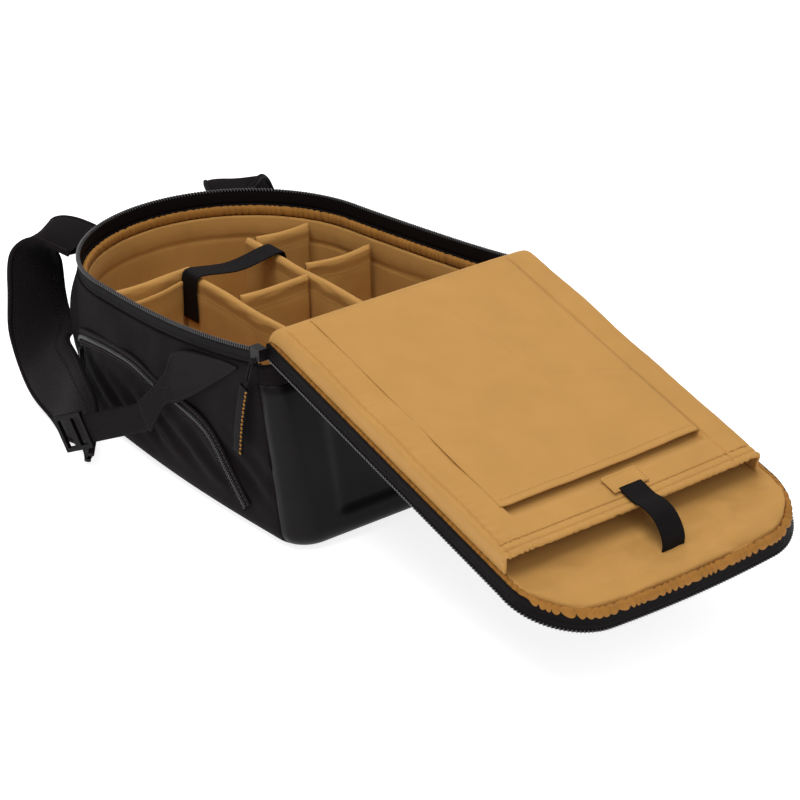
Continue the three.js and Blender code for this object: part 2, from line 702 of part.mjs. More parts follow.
function shoulderStrap(side) {
  const stations = STRAP_STATIONS.map(({ along, across, height, lean, width }) => ({
    at: v(along * HINGE_X, side * across * HALF_WIDTH, height * RIM_HEIGHT_TOP_END),
    side: v(lean[0], side * lean[1], lean[2]),
    width: width * SHOULDER_WIDTH,
  }));
  const strap = band(smooth(stations, STRAP_STEPS), SHOULDER_THICKNESS, SHOULDER_SWELL);
  const above = RIM_TAPE_HEIGHT + RIM_COIL_RADIUS + SHOULDER_THICKNESS + CUT_PAST;
  return cut(strap, solidBody(-GAP, -RIM_TAPE_INSET, -above, FRONT_EDGE_RADIUS));
}

// Hinge cloth from the bottom end wall to the underside of the open panel
function panelPoint(d, y, n) {
  return v(
    HINGE_X + d * Math.cos(TILT) + n * Math.sin(TILT),
    y,
    PANEL_HINGE_HEIGHT - d * Math.sin(TILT) + n * Math.cos(TILT),
  );
}

function hingeStrip() {
  const under = PANEL_BOTTOM - HINGE_CLOTH;
  const out = GAP + HINGE_CLOTH;
  const wallX = (z) => HINGE_X + BASE_FLARE * (1 - z / wallTop(HINGE_X)) ** BASE_CURVE + out;
  const low = BASE_HEIGHT + HINGE_CLOTH + GAP;
  const places = [
    v(wallX(low), 0, low), v(wallX(low + HINGE_LEG), 0, low + HINGE_LEG),
    panelPoint(HINGE_REACH, 0, under - HINGE_CLOTH / 2),
    panelPoint(HINGE_REACH + HINGE_SEWN, 0, under),
  ];
  const width = 2 * HALF_PANEL * HINGE_WIDTH_SHARE;
  return band(places.map((at) => ({ at, side: v(0, 1, 0), width })), HINGE_CLOTH);
}

// Open panel pieces, in the panel's own frame: x out along it, y across, z off its face
const panelEnd = (n) => PANEL_LENGTH - PANEL_RIM_FLARE
  * THREE.MathUtils.clamp((n - (SLEEVE_FLOOR - PANEL_TAPE_HEIGHT)) / PANEL_TAPE_HEIGHT, 0, 1);

function panelPlaces(n, inset = 0, steps = { side: 7, corner: 6, end: 4 }) {
  const half = HALF_PANEL - inset;
  const radius = PANEL_CORNER_RADIUS - inset;
  const end = panelEnd(n) - PANEL_END_BOW - inset;
  const near = [];
  for (let i = 0; i < steps.side; i += 1) {
    near.push({ x: lerp(0, end - radius, i / steps.side), y: -half, outX: 0, outY: -1 });
  }
  for (let i = 0; i < steps.corner; i += 1) {
    const turn = (Math.PI / 2) * i / steps.corner;
    near.push({
      x: end - radius + radius * Math.sin(turn),
      y: -half + radius - radius * Math.cos(turn),
      outX: Math.sin(turn),
      outY: -Math.cos(turn),
    });
  }
  const straight = half - radius;
  for (let i = 0; i <= steps.end; i += 1) {
    near.push({ x: end, y: -straight * (1 - i / steps.end), outX: 1, outY: 0 });
  }
  const bow = ({ x, y }) => PANEL_END_BOW * (x / end) ** 8 * (1 - (y / half) ** 2);
  const bowed = near.map((p) => ({ ...p, x: p.x + bow(p) }));
  const far = bowed.slice(0, -1).reverse().map((p) => ({ ...p, y: -p.y, outY: -p.outY }));
  return [...bowed, ...far];
}

function panelStrip(sectionAt) {
  const places = panelPlaces(SLEEVE_FLOOR);
  return loft(places.map((p, i) => sectionAt(i / (places.length - 1), p.outX).map(([out, n]) => (
    v(p.x + p.outX * out, p.y + p.outY * out, n)
  ))));
}

const TAPE_TOP = SLEEVE_FLOOR - PANEL_TAPE_DROP;
const TAPE_FOOT = TAPE_TOP - PANEL_TAPE_HEIGHT;

const panelZipTape = () => panelStrip((share, facing) => [
  [0, TAPE_TOP], [TAPE_THICKNESS, TAPE_TOP],
  [PANEL_RIM_FLARE * facing + TAPE_THICKNESS, TAPE_FOOT], [PANEL_RIM_FLARE * facing, TAPE_FOOT],
]);

const panelZipCoil = () => panelStrip((share, facing) => polygon(
  PANEL_RIM_FLARE * facing + TAPE_THICKNESS / 2,
  TAPE_FOOT - GAP - RIM_COIL_RADIUS,
  RIM_COIL_RADIUS, RIM_COIL_RADIUS, 6,
));

const panelBinding = () => panelStrip(gathered(
  -BINDING_WIDTH / 2 - GAP,
  SLEEVE_FLOOR - PANEL_BINDING_HEIGHT / 2,
  BINDING_WIDTH,
  PANEL_BINDING_HEIGHT,
));

const onPanel = (p) => new THREE.Vector2(p.x, p.y);

function panelSlab(levels, start) {
  const steps = { side: 1, corner: 5, end: 2 };
  return loft(levels.map(({ n, inset }) => (
    panelPlaces(SLEEVE_FLOOR, inset, steps).map((p) => v(Math.max(p.x, start), p.y, n))
  )), onPanel);
}

const BACK_INSET = BINDING_WIDTH * 0.4;
const backPanel = () => panelSlab([
  { n: PANEL_BOTTOM, inset: BACK_INSET + PANEL_EDGE_RADIUS },
  { n: PANEL_BOTTOM + PANEL_EDGE_RADIUS / 3, inset: BACK_INSET + PANEL_EDGE_RADIUS / 3 },
  { n: PANEL_BOTTOM + PANEL_EDGE_RADIUS * 2 / 3, inset: BACK_INSET },
  { n: PANEL_TOP, inset: BACK_INSET },
], -PANEL_HEEL);

const LINING_EDGE_INSET = BINDING_WIDTH + 3 * GAP;
const LINING_ROLL = PANEL_LINING_EDGE * 2 / 3;
const panelLining = () => panelSlab([
  { n: PANEL_TOP + GAP, inset: LINING_EDGE_INSET + PANEL_LINING_EDGE / 3 },
  { n: PANEL_TOP + LINING_ROLL, inset: LINING_EDGE_INSET },
  { n: SLEEVE_FLOOR - LINING_ROLL, inset: LINING_EDGE_INSET },
  { n: SLEEVE_FLOOR, inset: LINING_EDGE_INSET + PANEL_LINING_EDGE },
], GAP);

// Sleeve sections as [across, up] corners at places along it; its edges follow the roll
const onSection = (p) => new THREE.Vector2(p.y, p.z);

function sleeveSection(d, drop) {
  const near = SLEEVE_NEAR_Y;
  const far = SLEEVE_FAR_Y;
  const roll = SLEEVE_ROLL;
  const corners = [
    [near + 0.44 * roll, -SLEEVE_HEIGHT], [near, -0.44 * roll - drop],
    [near + 0.28 * roll, -0.11 * roll - drop], [near + roll, -drop],
    [SLEEVE_SEAM_Y, -drop], [far - 0.56 * roll, -0.39 * roll - drop],
    [far - 0.06 * roll, -0.89 * roll - drop], [far + 0.11 * roll, -SLEEVE_HEIGHT],
  ];
  return corners.map(([y, n]) => v(d, y, Math.max(n, -SLEEVE_HEIGHT)));
}

// Rounding of the sleeve's hinge end: places as shares of its heel, drops of its height
const SLEEVE_HEEL_ROWS = [
  { along: 0.02, drop: 0.52 }, { along: 0.17, drop: 0.24 }, { along: 0.5, drop: 0.05 },
  { along: 1, drop: 0 },
];

function laptopSleeve() {
  const heel = SLEEVE_HEEL_ROWS.map(({ along, drop }) => (
    sleeveSection(along * SLEEVE_HEEL, drop * SLEEVE_HEIGHT)
  ));
  const body = loft([...heel, sleeveSection(SLEEVE_LENGTH, 0)], onSection);
  const ceiling = -POCKET_DEPTH - POCKET_SHEET - POCKET_BACK;
  const wall = SLEEVE_WALL;
  const roll = SLEEVE_ROLL;
  const below = -SLEEVE_HEIGHT - CUT_PAST;
  const near = SLEEVE_NEAR_Y + wall;
  const far = SLEEVE_FAR_Y - wall;
  const hollow = [
    [near + 0.44 * roll, below], [near + 0.06 * roll, -wall - 0.44 * roll],
    [near + 0.33 * roll, -wall], [POCKET_NEAR_Y - wall, -wall], [POCKET_NEAR_Y - wall, ceiling],
    [SLEEVE_SEAM_Y + wall, ceiling], [SLEEVE_SEAM_Y + wall, -wall - 0.09 * roll],
    [far - 0.56 * roll, -wall - 0.44 * roll], [far, below],
  ];
  const room = [2 * wall + GAP, SLEEVE_LENGTH + CUT_PAST].map((d) => (
    hollow.map(([y, n]) => v(d, y, n))
  ));
  const recess = block(
    v(POCKET_HEEL, POCKET_NEAR_Y, -POCKET_DEPTH - POCKET_SHEET),
    v(POCKET_END, SLEEVE_SEAM_Y, CUT_PAST),
  );
  return cut(body, loft(room, onSection), recess);
}

const tabletPocket = () => block(
  v(POCKET_HEEL + GAP, POCKET_NEAR_Y + GAP, -POCKET_SHEET),
  v(POCKET_MOUTH, SLEEVE_SEAM_Y - GAP, 0),
);

// Strap over the sleeve's mouth: places past the mouth as shares of its reach, and
// heights over the sleeve and under it as shares of the reach and the sleeve's height
const SLEEVE_STRAP_ROWS = [
  { past: -0.5, rise: 0.03, sink: 0 }, { past: -0.05, rise: 0.0325, sink: 0 },
  { past: 0.2, rise: 0.075, sink: 0 }, { past: 0.5, rise: 0.05, sink: 0 },
  { past: 0.78, rise: 0, sink: 0.19 }, { past: 0.95, rise: 0, sink: 0.57 },
  { past: 1, rise: 0.04, sink: 1.017 },
];

function sleeveStrap() {
  return band(SLEEVE_STRAP_ROWS.map(({ past, rise, sink }) => ({
    at: v(
      SLEEVE_LENGTH + past * SLEEVE_STRAP_REACH,
      SLEEVE_STRAP_Y,
      rise * SLEEVE_STRAP_REACH - sink * SLEEVE_HEIGHT,
    ),
    side: v(0, 1, 0),
    width: SLEEVE_STRAP_WIDTH,
  })), WEBBING_THICKNESS);
}

// Main slider with its cord and pull, where both zips end at the near corner
const SLIDER_X = RIM_START_X + GAP;
const CORD_OUT = SLIDER_FACE + GAP + CORD_THICKNESS / 2;

function mainSlider() {
  const { y } = wallPlace(SLIDER_X, -1, -RIM_TAPE_INSET);
  const foot = rimHeight(SLIDER_X) - SLIDER_HEIGHT * 0.45;
  return block(
    v(SLIDER_X, y - RIM_TAPE_INSET - SLIDER_FACE, foot),
    v(SLIDER_X + SLIDER_LENGTH, y + RIM_TAPE_INSET + SLIDER_BACK, foot + SLIDER_HEIGHT),
  );
}

// Hanging pull: steps along the wall as shares of its swing, heights of the rim's
const PULL_ROWS = [
  { back: 0.38, height: 0.98 }, { back: 0.57, height: 0.88 },
  { back: 0.81, height: 0.72 }, { back: 1, height: 0.53 },
];

function mainPullTab() {
  return band(PULL_ROWS.map(({ back, height }) => {
    const x = SLIDER_X - back * PULL_SWING;
    const { y } = wallPlace(x, -1, CORD_OUT);
    return { at: v(x, y, height * RIM_HEIGHT_TOP_END), side: v(1, 0, 0.1), width: PULL_WIDTH };
  }), PULL_THICKNESS);
}

function mainPullCord() {
  const { y } = wallPlace(SLIDER_X, -1, CORD_OUT);
  const top = rimHeight(SLIDER_X) - SLIDER_HEIGHT * 0.3;
  const foot = PULL_ROWS[0].height * RIM_HEIGHT_TOP_END + 2 * GAP;
  const route = [
    v(SLIDER_X + SLIDER_LENGTH * 0.4, y, top),
    v(SLIDER_X, y, lerp(top, foot, 0.42)),
    v(SLIDER_X - PULL_SWING / 3, y, foot),
  ];
  return band(route.map((at) => ({ at, side: v(1, 0, 0), width: CORD_THICKNESS })), CORD_THICKNESS);
}

const bag = new THREE.Group();
const openPanel = new THREE.Group();
openPanel.position.set(HINGE_X, 0, PANEL_HINGE_HEIGHT);
openPanel.rotation.y = TILT;
bag.add(openPanel);

function piece(parent, name, geometry, material) {
  const mesh = new THREE.Mesh(geometry, material);
  mesh.name = name;
  parent.add(mesh);
}

piece(bag, 'body_shell', bodyShell(), blackCloth);
piece(bag, 'moulded_base', mouldedBase(), moulding);
piece(bag, 'body_lining', bodyLining(), tanCloth);
piece(bag, 'body_zip_tape', bodyZipTape(), blackCloth);
piece(bag, 'body_zip_coil', bodyZipCoil(), zipCoil);
piece(bag, 'body_rim_binding', bodyBinding(), tanBinding);
for (const [name, geometry] of Object.entries(dividers)) {
  piece(bag, name, geometry, tanCloth);
}
piece(bag, 'gear_strap', gearStrap(), blackWebbing);
piece(bag, 'side_door_tape', sideDoorTape(), blackCloth);
piece(bag, 'side_door_coil', sideDoorCoil(), zipCoil);
piece(bag, 'side_zip_pull', sideZipPull(), blackPlastic);
for (const [name, side] of [['near', -1], ['far', 1]]) {
  piece(bag, `wing_tab_${name}`, wingTab(side), blackCloth);
  piece(bag, `webbing_${name}`, webbing(side), blackWebbing);
  piece(bag, `ladder_lock_${name}`, ladderLock(side), blackPlastic);
  piece(bag, `shoulder_strap_${name}`, shoulderStrap(side), blackCloth);
}
piece(bag, 'hinge_strip', hingeStrip(), blackCloth);
piece(bag, 'main_zip_slider', mainSlider(), blackPlastic);
piece(bag, 'main_pull_cord', mainPullCord(), blackWebbing);
piece(bag, 'main_pull_tab', mainPullTab(), blackWebbing);
piece(openPanel, 'back_panel', backPanel(), blackCloth);
piece(openPanel, 'panel_lining', panelLining(), tanCloth);
piece(openPanel, 'panel_zip_tape', panelZipTape(), blackCloth);
piece(openPanel, 'panel_zip_coil', panelZipCoil(), zipCoil);
piece(openPanel, 'panel_binding', panelBinding(), tanBinding);
piece(openPanel, 'laptop_sleeve', laptopSleeve(), tanCloth);
piece(openPanel, 'tablet_pocket', tabletPocket(), tanCloth);
piece(openPanel, 'sleeve_strap', sleeveStrap(), blackWebbing);

export default bag;
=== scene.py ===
import math

import bmesh
import bpy
import numpy as np
from mathutils import Matrix, Vector


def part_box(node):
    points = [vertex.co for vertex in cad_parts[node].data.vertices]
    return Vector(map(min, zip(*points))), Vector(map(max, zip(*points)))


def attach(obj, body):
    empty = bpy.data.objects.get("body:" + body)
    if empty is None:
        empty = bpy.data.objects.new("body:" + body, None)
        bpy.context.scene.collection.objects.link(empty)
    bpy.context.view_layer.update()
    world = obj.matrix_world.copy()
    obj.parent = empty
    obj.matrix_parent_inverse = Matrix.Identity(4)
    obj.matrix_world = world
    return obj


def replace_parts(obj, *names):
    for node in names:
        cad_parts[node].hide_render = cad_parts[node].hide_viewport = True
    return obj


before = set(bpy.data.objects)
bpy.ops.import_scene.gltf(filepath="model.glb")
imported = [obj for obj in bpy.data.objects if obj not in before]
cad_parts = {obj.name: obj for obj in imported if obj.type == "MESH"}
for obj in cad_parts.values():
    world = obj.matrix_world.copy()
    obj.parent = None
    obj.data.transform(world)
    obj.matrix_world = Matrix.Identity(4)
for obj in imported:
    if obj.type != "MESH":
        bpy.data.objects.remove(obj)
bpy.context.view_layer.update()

bl_info = {
    "name": "Open gear backpack",
    "version": (1, 0, 0),
    "blender": (4, 5, 0),
    "location": "3D View > Sidebar > Backpack",
    "description": "Cloth, padding, zips and straps of a gear backpack that lies open",
    "category": "Object",
}

# Driving sizes, in metres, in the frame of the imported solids
MM = 0.001
BODY_LENGTH = 420 * MM
BODY_WIDTH = 300 * MM
TOP_ARCH_LENGTH = 150 * MM
SIDE_BULGE = 5 * MM
RIM_HEIGHT_BOTTOM_END = 185 * MM
RIM_HEIGHT_TOP_END = 149 * MM
RIM_SAG_LENGTH = 175 * MM
CORNER_RADIUS_RIM = 14 * MM
CORNER_RADIUS_FLOOR = 34 * MM
FRONT_EDGE_RADIUS = 16 * MM
SHELL_WALL = 3.5 * MM
LINING_WALL = 5.5 * MM
GAP = 0.35 * MM
BASE_FLARE = 34 * MM
BASE_CURVE = 1.2
BASE_HEIGHT = 152 * MM
BASE_SEAM_AT_FLOOR = 12 * MM
BASE_SEAM_AT_RIM = -17 * MM
BASE_RIB_HEIGHT = 3 * MM
BASE_PANEL_WIDTH = 196 * MM
BASE_PANEL_SILL = 28 * MM
RIM_START_STEP = 16 * MM
RIM_TAPE_HEIGHT = 12 * MM
RIM_TAPE_INSET = 1 * MM
TAPE_THICKNESS = 1.6 * MM
RIM_COIL_RADIUS = 2.2 * MM
BINDING_HEIGHT = 10 * MM
BINDING_WIDTH = 6.5 * MM
SIDE_ZIP_WIDTH = 13 * MM
DIVIDER_HEIGHT = 127 * MM
DIVIDER_THICKNESS = 11 * MM
NEAR_LONG_Y = -35 * MM
FAR_LONG_Y = 55 * MM
NEAR_CROSS_X = -95 * MM
TOP_CROSS_X = -114 * MM
MID_CROSS_X = -10 * MM
FAR_CROSS_X = -30 * MM
SHOULDER_WIDTH = 66 * MM
SHOULDER_THICKNESS = 11 * MM
WEBBING_WIDTH = 28 * MM
WEBBING_THICKNESS = 1.6 * MM
GEAR_STRAP_WIDTH = 25 * MM
GEAR_STRAP_DROP = 46 * MM
LOCK_LENGTH = 30 * MM
PANEL_TILT = math.radians(16)
PANEL_HINGE_HEIGHT = 211.6 * MM
PANEL_LENGTH = 398 * MM
HALF_PANEL = 143 * MM
PANEL_CORNER_RADIUS = 56 * MM
PANEL_END_BOW = 8 * MM
PANEL_RIM_FLARE = 10 * MM
PANEL_THICKNESS = 11 * MM
PANEL_LINING_THICKNESS = 7 * MM
PANEL_TAPE_HEIGHT = 10 * MM
PANEL_BINDING_HEIGHT = 7 * MM
SLEEVE_LENGTH = 318 * MM
SLEEVE_HEIGHT = 21 * MM
SLEEVE_NEAR_Y = -144 * MM
SLEEVE_SEAM_Y = 102 * MM
SLEEVE_FAR_Y = 131 * MM
SLEEVE_ROLL = 9 * MM
SLEEVE_HEEL = 18 * MM
SLEEVE_WALL = 3 * MM
POCKET_NEAR_Y = -113 * MM
POCKET_HEEL = 12 * MM
POCKET_MOUTH = 272 * MM
POCKET_DEPTH = 6 * MM
POCKET_SHEET = 1.5 * MM
SLEEVE_STRAP_WIDTH = 24 * MM
SLEEVE_STRAP_REACH = 40 * MM

# Sizes of the detail that only the scene has, in metres
BROAD_FOLD = 70 * MM
SMALL_FOLD = 26 * MM
SLACK_PITCH = 46 * MM
FOLD_IN = 3.2 * MM
FOLD_OUT = 1.6 * MM
TOP_SWELL = 10 * MM
TOP_SWELL_START = -128 * MM
TOP_SWELL_FULL = -154 * MM
SLANT_SEAM_X = -132 * MM
SLANT_SEAM_Z = 100 * MM
SLANT_SEAM_HALF = 3 * MM
SLANT_SEAM_LEAN = 0.16
BODY_MIDDLE = (0, 0, 80 * MM)
BASE_EDGE_BLEND = 7 * MM
PIPING_RADIUS = 1.3 * MM
PIPING_CORNER_STEP = 5.2 * MM
LINING_SEAM_DROP = 24 * MM
LINING_PUSH_IN = 2.6 * MM
LINING_PUSH_OUT = 1.6 * MM
LINING_ROOM = 1.8 * MM
DIVIDER_END_ROUND = 4 * MM
DIVIDER_SAG = 2.5 * MM
DIVIDER_CLEARANCE = 2.8 * MM
FLAP_THICKNESS = 3 * MM
SIDE_TAPE_THICKNESS = 1.2 * MM
SIDE_COIL_RADIUS = 1.7 * MM
SIDE_SEAT_WIDTH = 2.6 * MM
SIDE_SEAT_HEIGHT = 1.4 * MM
SIDE_PIPING_WIDTH = 2.6 * MM
SIDE_PIPING_HEIGHT = 2.2 * MM
SIDE_PIPING_SHARE = 0.56
SIDE_STITCH_SHARE = 0.72
SIDE_PULL_THICKNESS = 2.4 * MM
WING_THICKNESS = 1.6 * MM
WING_STITCH_LIFT = 0.9 * MM
STRAP_CLEARANCE = 2.5 * MM
STRAP_EDGE_WIDTH = 4.4 * MM
STRAP_EDGE_HEIGHT = 6.2 * MM
STRAP_EDGE_INSET = 1.8 * MM
STRAP_FACE_INSET = 1.6 * MM
NEAR_STRAP_SHIFT = (6 * MM, 6 * MM, 0)
FAR_STRAP_SHIFT = (3 * MM, 0, -4 * MM)
HINGE_CLOTH_SHARE = 0.88
HINGE_CLOTH_THICKNESS = 1.2 * MM
CORD_RADIUS = 1.0 * MM
CORD_SPREAD = 2.2 * MM
PULL_WIDTH = 12.4 * MM
PULL_REACH = 21 * MM
PULL_OUT = 6.55 * MM
PULL_RIB_PITCH = 3.1 * MM
PANEL_EDGE_RADIUS = 8 * MM
PANEL_LINING_EDGE = 3.5 * MM
CHANNEL_Y = 38 * MM
CHANNEL_HALF = 8 * MM
CHANNEL_DEPTH = 2.5 * MM
HEM_INNER = 13 * MM
HEM_OUTER = 5 * MM
STITCH_LIFT = 0.15 * MM
FINE_THREAD = 0.45 * MM
THIN_THREAD = 0.4 * MM

# How finely the shapes are divided
FLOOR_ROWS = 16
BAND_CORNERS = 16
TUBE_SIDES = 8
BEAD_SIDES = 6
HOOP_SIDES = 5
HOOP_RINGS = 10
EASED_ROWS = 9
SPREAD_ROWS = 16
BLUR_ROWS = 14
TAPE_CORNERS = 14
TAPE_SQUARE = 5.0

# The stage: its lights by name, place, power and size
FLOOR_REACH = 12.0
FLOOR_DROP = 1 * MM
FLOOR_GREY = (0.72, 0.72, 0.72)
FLOOR_GLOW = 0.82
WORLD_STRENGTH = 0.36
LIGHT_AIM = (0.2, 0, 0.1)
LIGHTS = (
    ("key", (0.5, -0.8, 2.9), 52.0, 1.8),
    ("fill", (2.3, -0.3, 1.7), 9.0, 1.8),
    ("back", (-1.2, 1.2, 2.4), 24.0, 1.6),
)

HINGE_X = BODY_LENGTH / 2
HALF_WIDTH = BODY_WIDTH / 2
ARCH_X = TOP_ARCH_LENGTH - HINGE_X
LINING_INSET = SHELL_WALL + GAP
LINING_INNER = LINING_INSET + LINING_WALL
SLEEVE_FLOOR = -SLEEVE_HEIGHT - GAP
PANEL_TOP = SLEEVE_FLOOR - PANEL_LINING_THICKNESS - GAP
PANEL_BOTTOM = PANEL_TOP - PANEL_THICKNESS
TAPE_TOP = SLEEVE_FLOOR - 2 * MM
TAPE_FOOT = TAPE_TOP - PANEL_TAPE_HEIGHT
RIM_START_X = HINGE_X - RIM_START_STEP

# The photograph's camera: its place, and its axes as columns right, up and back
CAMERA_PLACE = (1.798791, -1.221918, 1.098548)
CAMERA_RIGHT = (0.61120527, 0.79138235, -0.01192032)
CAMERA_UP = (-0.3482555, 0.28243045, 0.89384067)
CAMERA_BACK = (0.71073639, -0.54216881, 0.44822624)
CAMERA_LENS = 113.84


# Sizes and colours that a user may change
def a_length(label, default, text):
    return bpy.props.FloatProperty(
        name=label, description=text, default=default, unit="LENGTH")


def a_colour(label, default, text):
    return bpy.props.FloatVectorProperty(
        name=label, description=text, default=default, size=3, subtype="COLOR")


class BagSizes(bpy.types.PropertyGroup):
    """Sizes of the cloth's and the trim's detail."""
    gather_depth: a_length("Gather depth", 1.2 * MM, "How deep the binding puckers")
    gather_pitch: a_length(
        "Gather pitch", 7.5 * MM, "Distance between the binding's puckers")
    tooth_pitch: a_length(
        "Tooth pitch", 3.2 * MM, "Distance between the turns of the main coils")
    side_tooth_pitch: a_length(
        "Side tooth pitch", 2.2 * MM, "Distance between the turns of the side coil")
    stitch_pitch: a_length(
        "Stitch pitch", 4.2 * MM, "Distance from one stitch to the next")
    stitch_length: a_length("Stitch length", 3.0 * MM, "Length of a stitch")
    fold_depth: a_length(
        "Fold depth", 2.4 * MM, "Depth of the soft folds in the outer cloth")
    pad_puff: a_length(
        "Pad puff", 1.6 * MM, "How far the padding crowns between its seams")
    weave_pitch: a_length(
        "Weave pitch", 0.8 * MM, "Distance between threads of the cloth")


class BagColours(bpy.types.PropertyGroup):
    """Colours of the cloth, the trim and the hard parts."""
    tan: a_colour(
        "Tan cloth", (0.52, 0.275, 0.078), "Colour of the lining, dividers and sleeve")
    binding: a_colour(
        "Binding", (0.37, 0.165, 0.033), "Colour of the gathered binding")
    black: a_colour("Black cloth", (0.0066, 0.0040, 0.0047), "Colour of the outer cloth")
    webbing: a_colour("Webbing", (0.0058, 0.0042, 0.0045), "Colour of the straps")
    moulding: a_colour(
        "Moulding", (0.0040, 0.0026, 0.0028), "Colour of the moulded bottom end")
    # The coils' grey is painted highlight: the teeth are black, and the grey stands in for the
    # glints on their turns
    coil: a_colour("Zip coil", (0.15, 0.15, 0.155), "Colour of the zips' coils")
    gold: a_colour(
        "Gold thread", (0.42, 0.19, 0.025), "Colour of the thread on the main pull")


# Shader nodes as Python expressions
class Value:
    """A shader socket; plain arithmetic on it adds Math nodes."""

    def __init__(self, finish, socket):
        self.finish = finish
        self.socket = socket

    def maths(self, operation, *values):
        return self.finish.node(
            "ShaderNodeMath", {"operation": operation}, dict(enumerate(values)))

    def __add__(self, other):
        return self.maths("ADD", self, other)

    def __radd__(self, other):
        return self.maths("ADD", other, self)

    def __sub__(self, other):
        return self.maths("SUBTRACT", self, other)

    def __rsub__(self, other):
        return self.maths("SUBTRACT", other, self)

    def __mul__(self, other):
        return self.maths("MULTIPLY", self, other)

    def __rmul__(self, other):
        return self.maths("MULTIPLY", other, self)

    def sine(self):
        return self.maths("SINE", self)

    def largest(self, other):
        return self.maths("MAXIMUM", self, other)

    def clamped(self):
        return self.maths("MINIMUM", self.maths("MAXIMUM", self, 0.0), 1.0)


class Finish:
    """A material being made: its node tree and its main shader."""

    def __init__(self, name):
        self.material = bpy.data.materials.new(name)
        self.material.use_nodes = True
        self.tree = self.material.node_tree
        self.shader = self.tree.nodes["Principled BSDF"]

    def node(self, kind, settings=None, inputs=None, output=0):
        node = self.tree.nodes.new(kind)
        for key, value in (settings or {}).items():
            if key == "stops":
                for stop, (place, colour) in zip(node.color_ramp.elements, value):
                    stop.position = place
                    stop.color = colour
            else:
                setattr(node, key, value)
        for key, value in (inputs or {}).items():
            self.plug(node.inputs[key], value)
        return Value(self, node.outputs[output])

    def plug(self, socket, value):
        if isinstance(value, Value):
            self.tree.links.new(value.socket, socket)
        else:
            socket.default_value = value

    def shade(self, **values):
        for name, value in values.items():
            self.plug(self.shader.inputs[name.replace("_", " ")], value)

    def cloth(self):
        """The two lengths along the cloth, as separate values."""
        where = self.node("ShaderNodeAttribute", {"attribute_name": "cloth"}, output=1)
        split = self.node("ShaderNodeSeparateXYZ", {}, {0: where})
        outputs = split.socket.node.outputs
        return where, Value(self, outputs[0]), Value(self, outputs[1])

    def solid_place(self):
        return self.node("ShaderNodeTexCoord", output=3)

    def noise(self, where, scale, detail=2.0, roughness=0.5):
        return self.node("ShaderNodeTexNoise", {}, {
            "Vector": where, "Scale": scale, "Detail": detail, "Roughness": roughness})

    def tint(self, colour, dark, factor):
        """The colour, going to a darker shade of itself with the factor."""
        deep = tuple(c * dark for c in colour) + (1.0,)
        return self.node("ShaderNodeMix", {"data_type": "RGBA"}, {
            0: factor, 6: tuple(colour) + (1.0,), 7: deep}, output=2)

    def bump(self, height, depth):
        self.shade(Normal=self.node(
            "ShaderNodeBump", {}, {"Height": height, "Distance": depth, "Strength": 1.0}))


def woven(name, colour, pitch, depth, roughness, dark, sheen, mottle=22.0):
    """Plain woven cloth: crossing threads, soft mottling and slight wear."""
    finish = Finish(name)
    where, s, t = finish.cloth()
    turn = 2 * math.pi / pitch
    threads = (s * turn).sine() * (t * turn).sine()
    fuzz = finish.noise(where, 1 / (3 * pitch), 3.0, 0.7)
    mottling = finish.noise(finish.solid_place(), mottle, 3.0, 0.6)
    shade = (mottling * 1.6 - 0.4 + (threads * 0.12)).clamped()
    finish.shade(
        Base_Color=finish.tint(colour, dark, shade),
        Roughness=mottling * 0.12 + (roughness - 0.06),
        Sheen_Weight=sheen, Sheen_Roughness=0.5, Specular_IOR_Level=0.1)
    finish.bump(threads * 0.5 + fuzz, depth)
    return finish.material


def ribbed(name, colour, pitch, depth, roughness, sheen=0.0):
    """Webbing: ribs along it, crossed by fine picks."""
    finish = Finish(name)
    where, s, t = finish.cloth()
    ribs = (t * (2 * math.pi / pitch)).sine()
    picks = (s * (2 * math.pi / (0.6 * pitch))).sine()
    fuzz = finish.noise(where, 900.0, 2.0, 0.6)
    finish.shade(
        Base_Color=finish.tint(colour, 0.55, (ribs * picks * 0.3 + fuzz * 0.8).clamped()),
        Roughness=fuzz * 0.15 + (roughness - 0.07),
        Sheen_Weight=sheen, Sheen_Roughness=0.4, Specular_IOR_Level=0.1)
    finish.bump(ribs * 0.5 + picks * 0.4 + fuzz * 0.3, depth)
    return finish.material


def knitted(name, colour, pitch):
    """Open spacer mesh: a honeycomb of small sunk eyes, with painted shade in them."""
    finish = Finish(name)
    _, s, t = finish.cloth()
    turn = 2 * math.pi / pitch
    eyes = (s * turn).sine() * (t * turn * 0.62).sine()
    # Painted shade: where the eyes sink, the colour is also made darker, as shade in the holes
    deep = (eyes.largest(0.0 - eyes) * 1.5 - 0.35).clamped()
    finish.shade(
        Base_Color=finish.tint(colour, 0.35, deep), Roughness=deep * 0.1 + 0.82,
        Sheen_Weight=0.03, Sheen_Roughness=0.5, Specular_IOR_Level=0.15)
    finish.bump(1 - deep, 0.35 * MM)
    return finish.material


def moulded(name, colour, roughness, grain, depth, coat=0.0):
    """Moulded plastic with a fine spark grain and faint handling wear."""
    finish = Finish(name)
    place = finish.solid_place()
    pits = finish.noise(place, grain, 2.0, 0.6)
    wear = finish.noise(place, 18.0, 4.0, 0.65)
    finish.shade(
        Base_Color=finish.tint(colour, 0.75, wear), Roughness=wear * 0.2 + (roughness - 0.1),
        Coat_Weight=coat, Specular_IOR_Level=0.15)
    finish.bump(pits, depth)
    return finish.material


THREAD_GRAIN = 4000.0


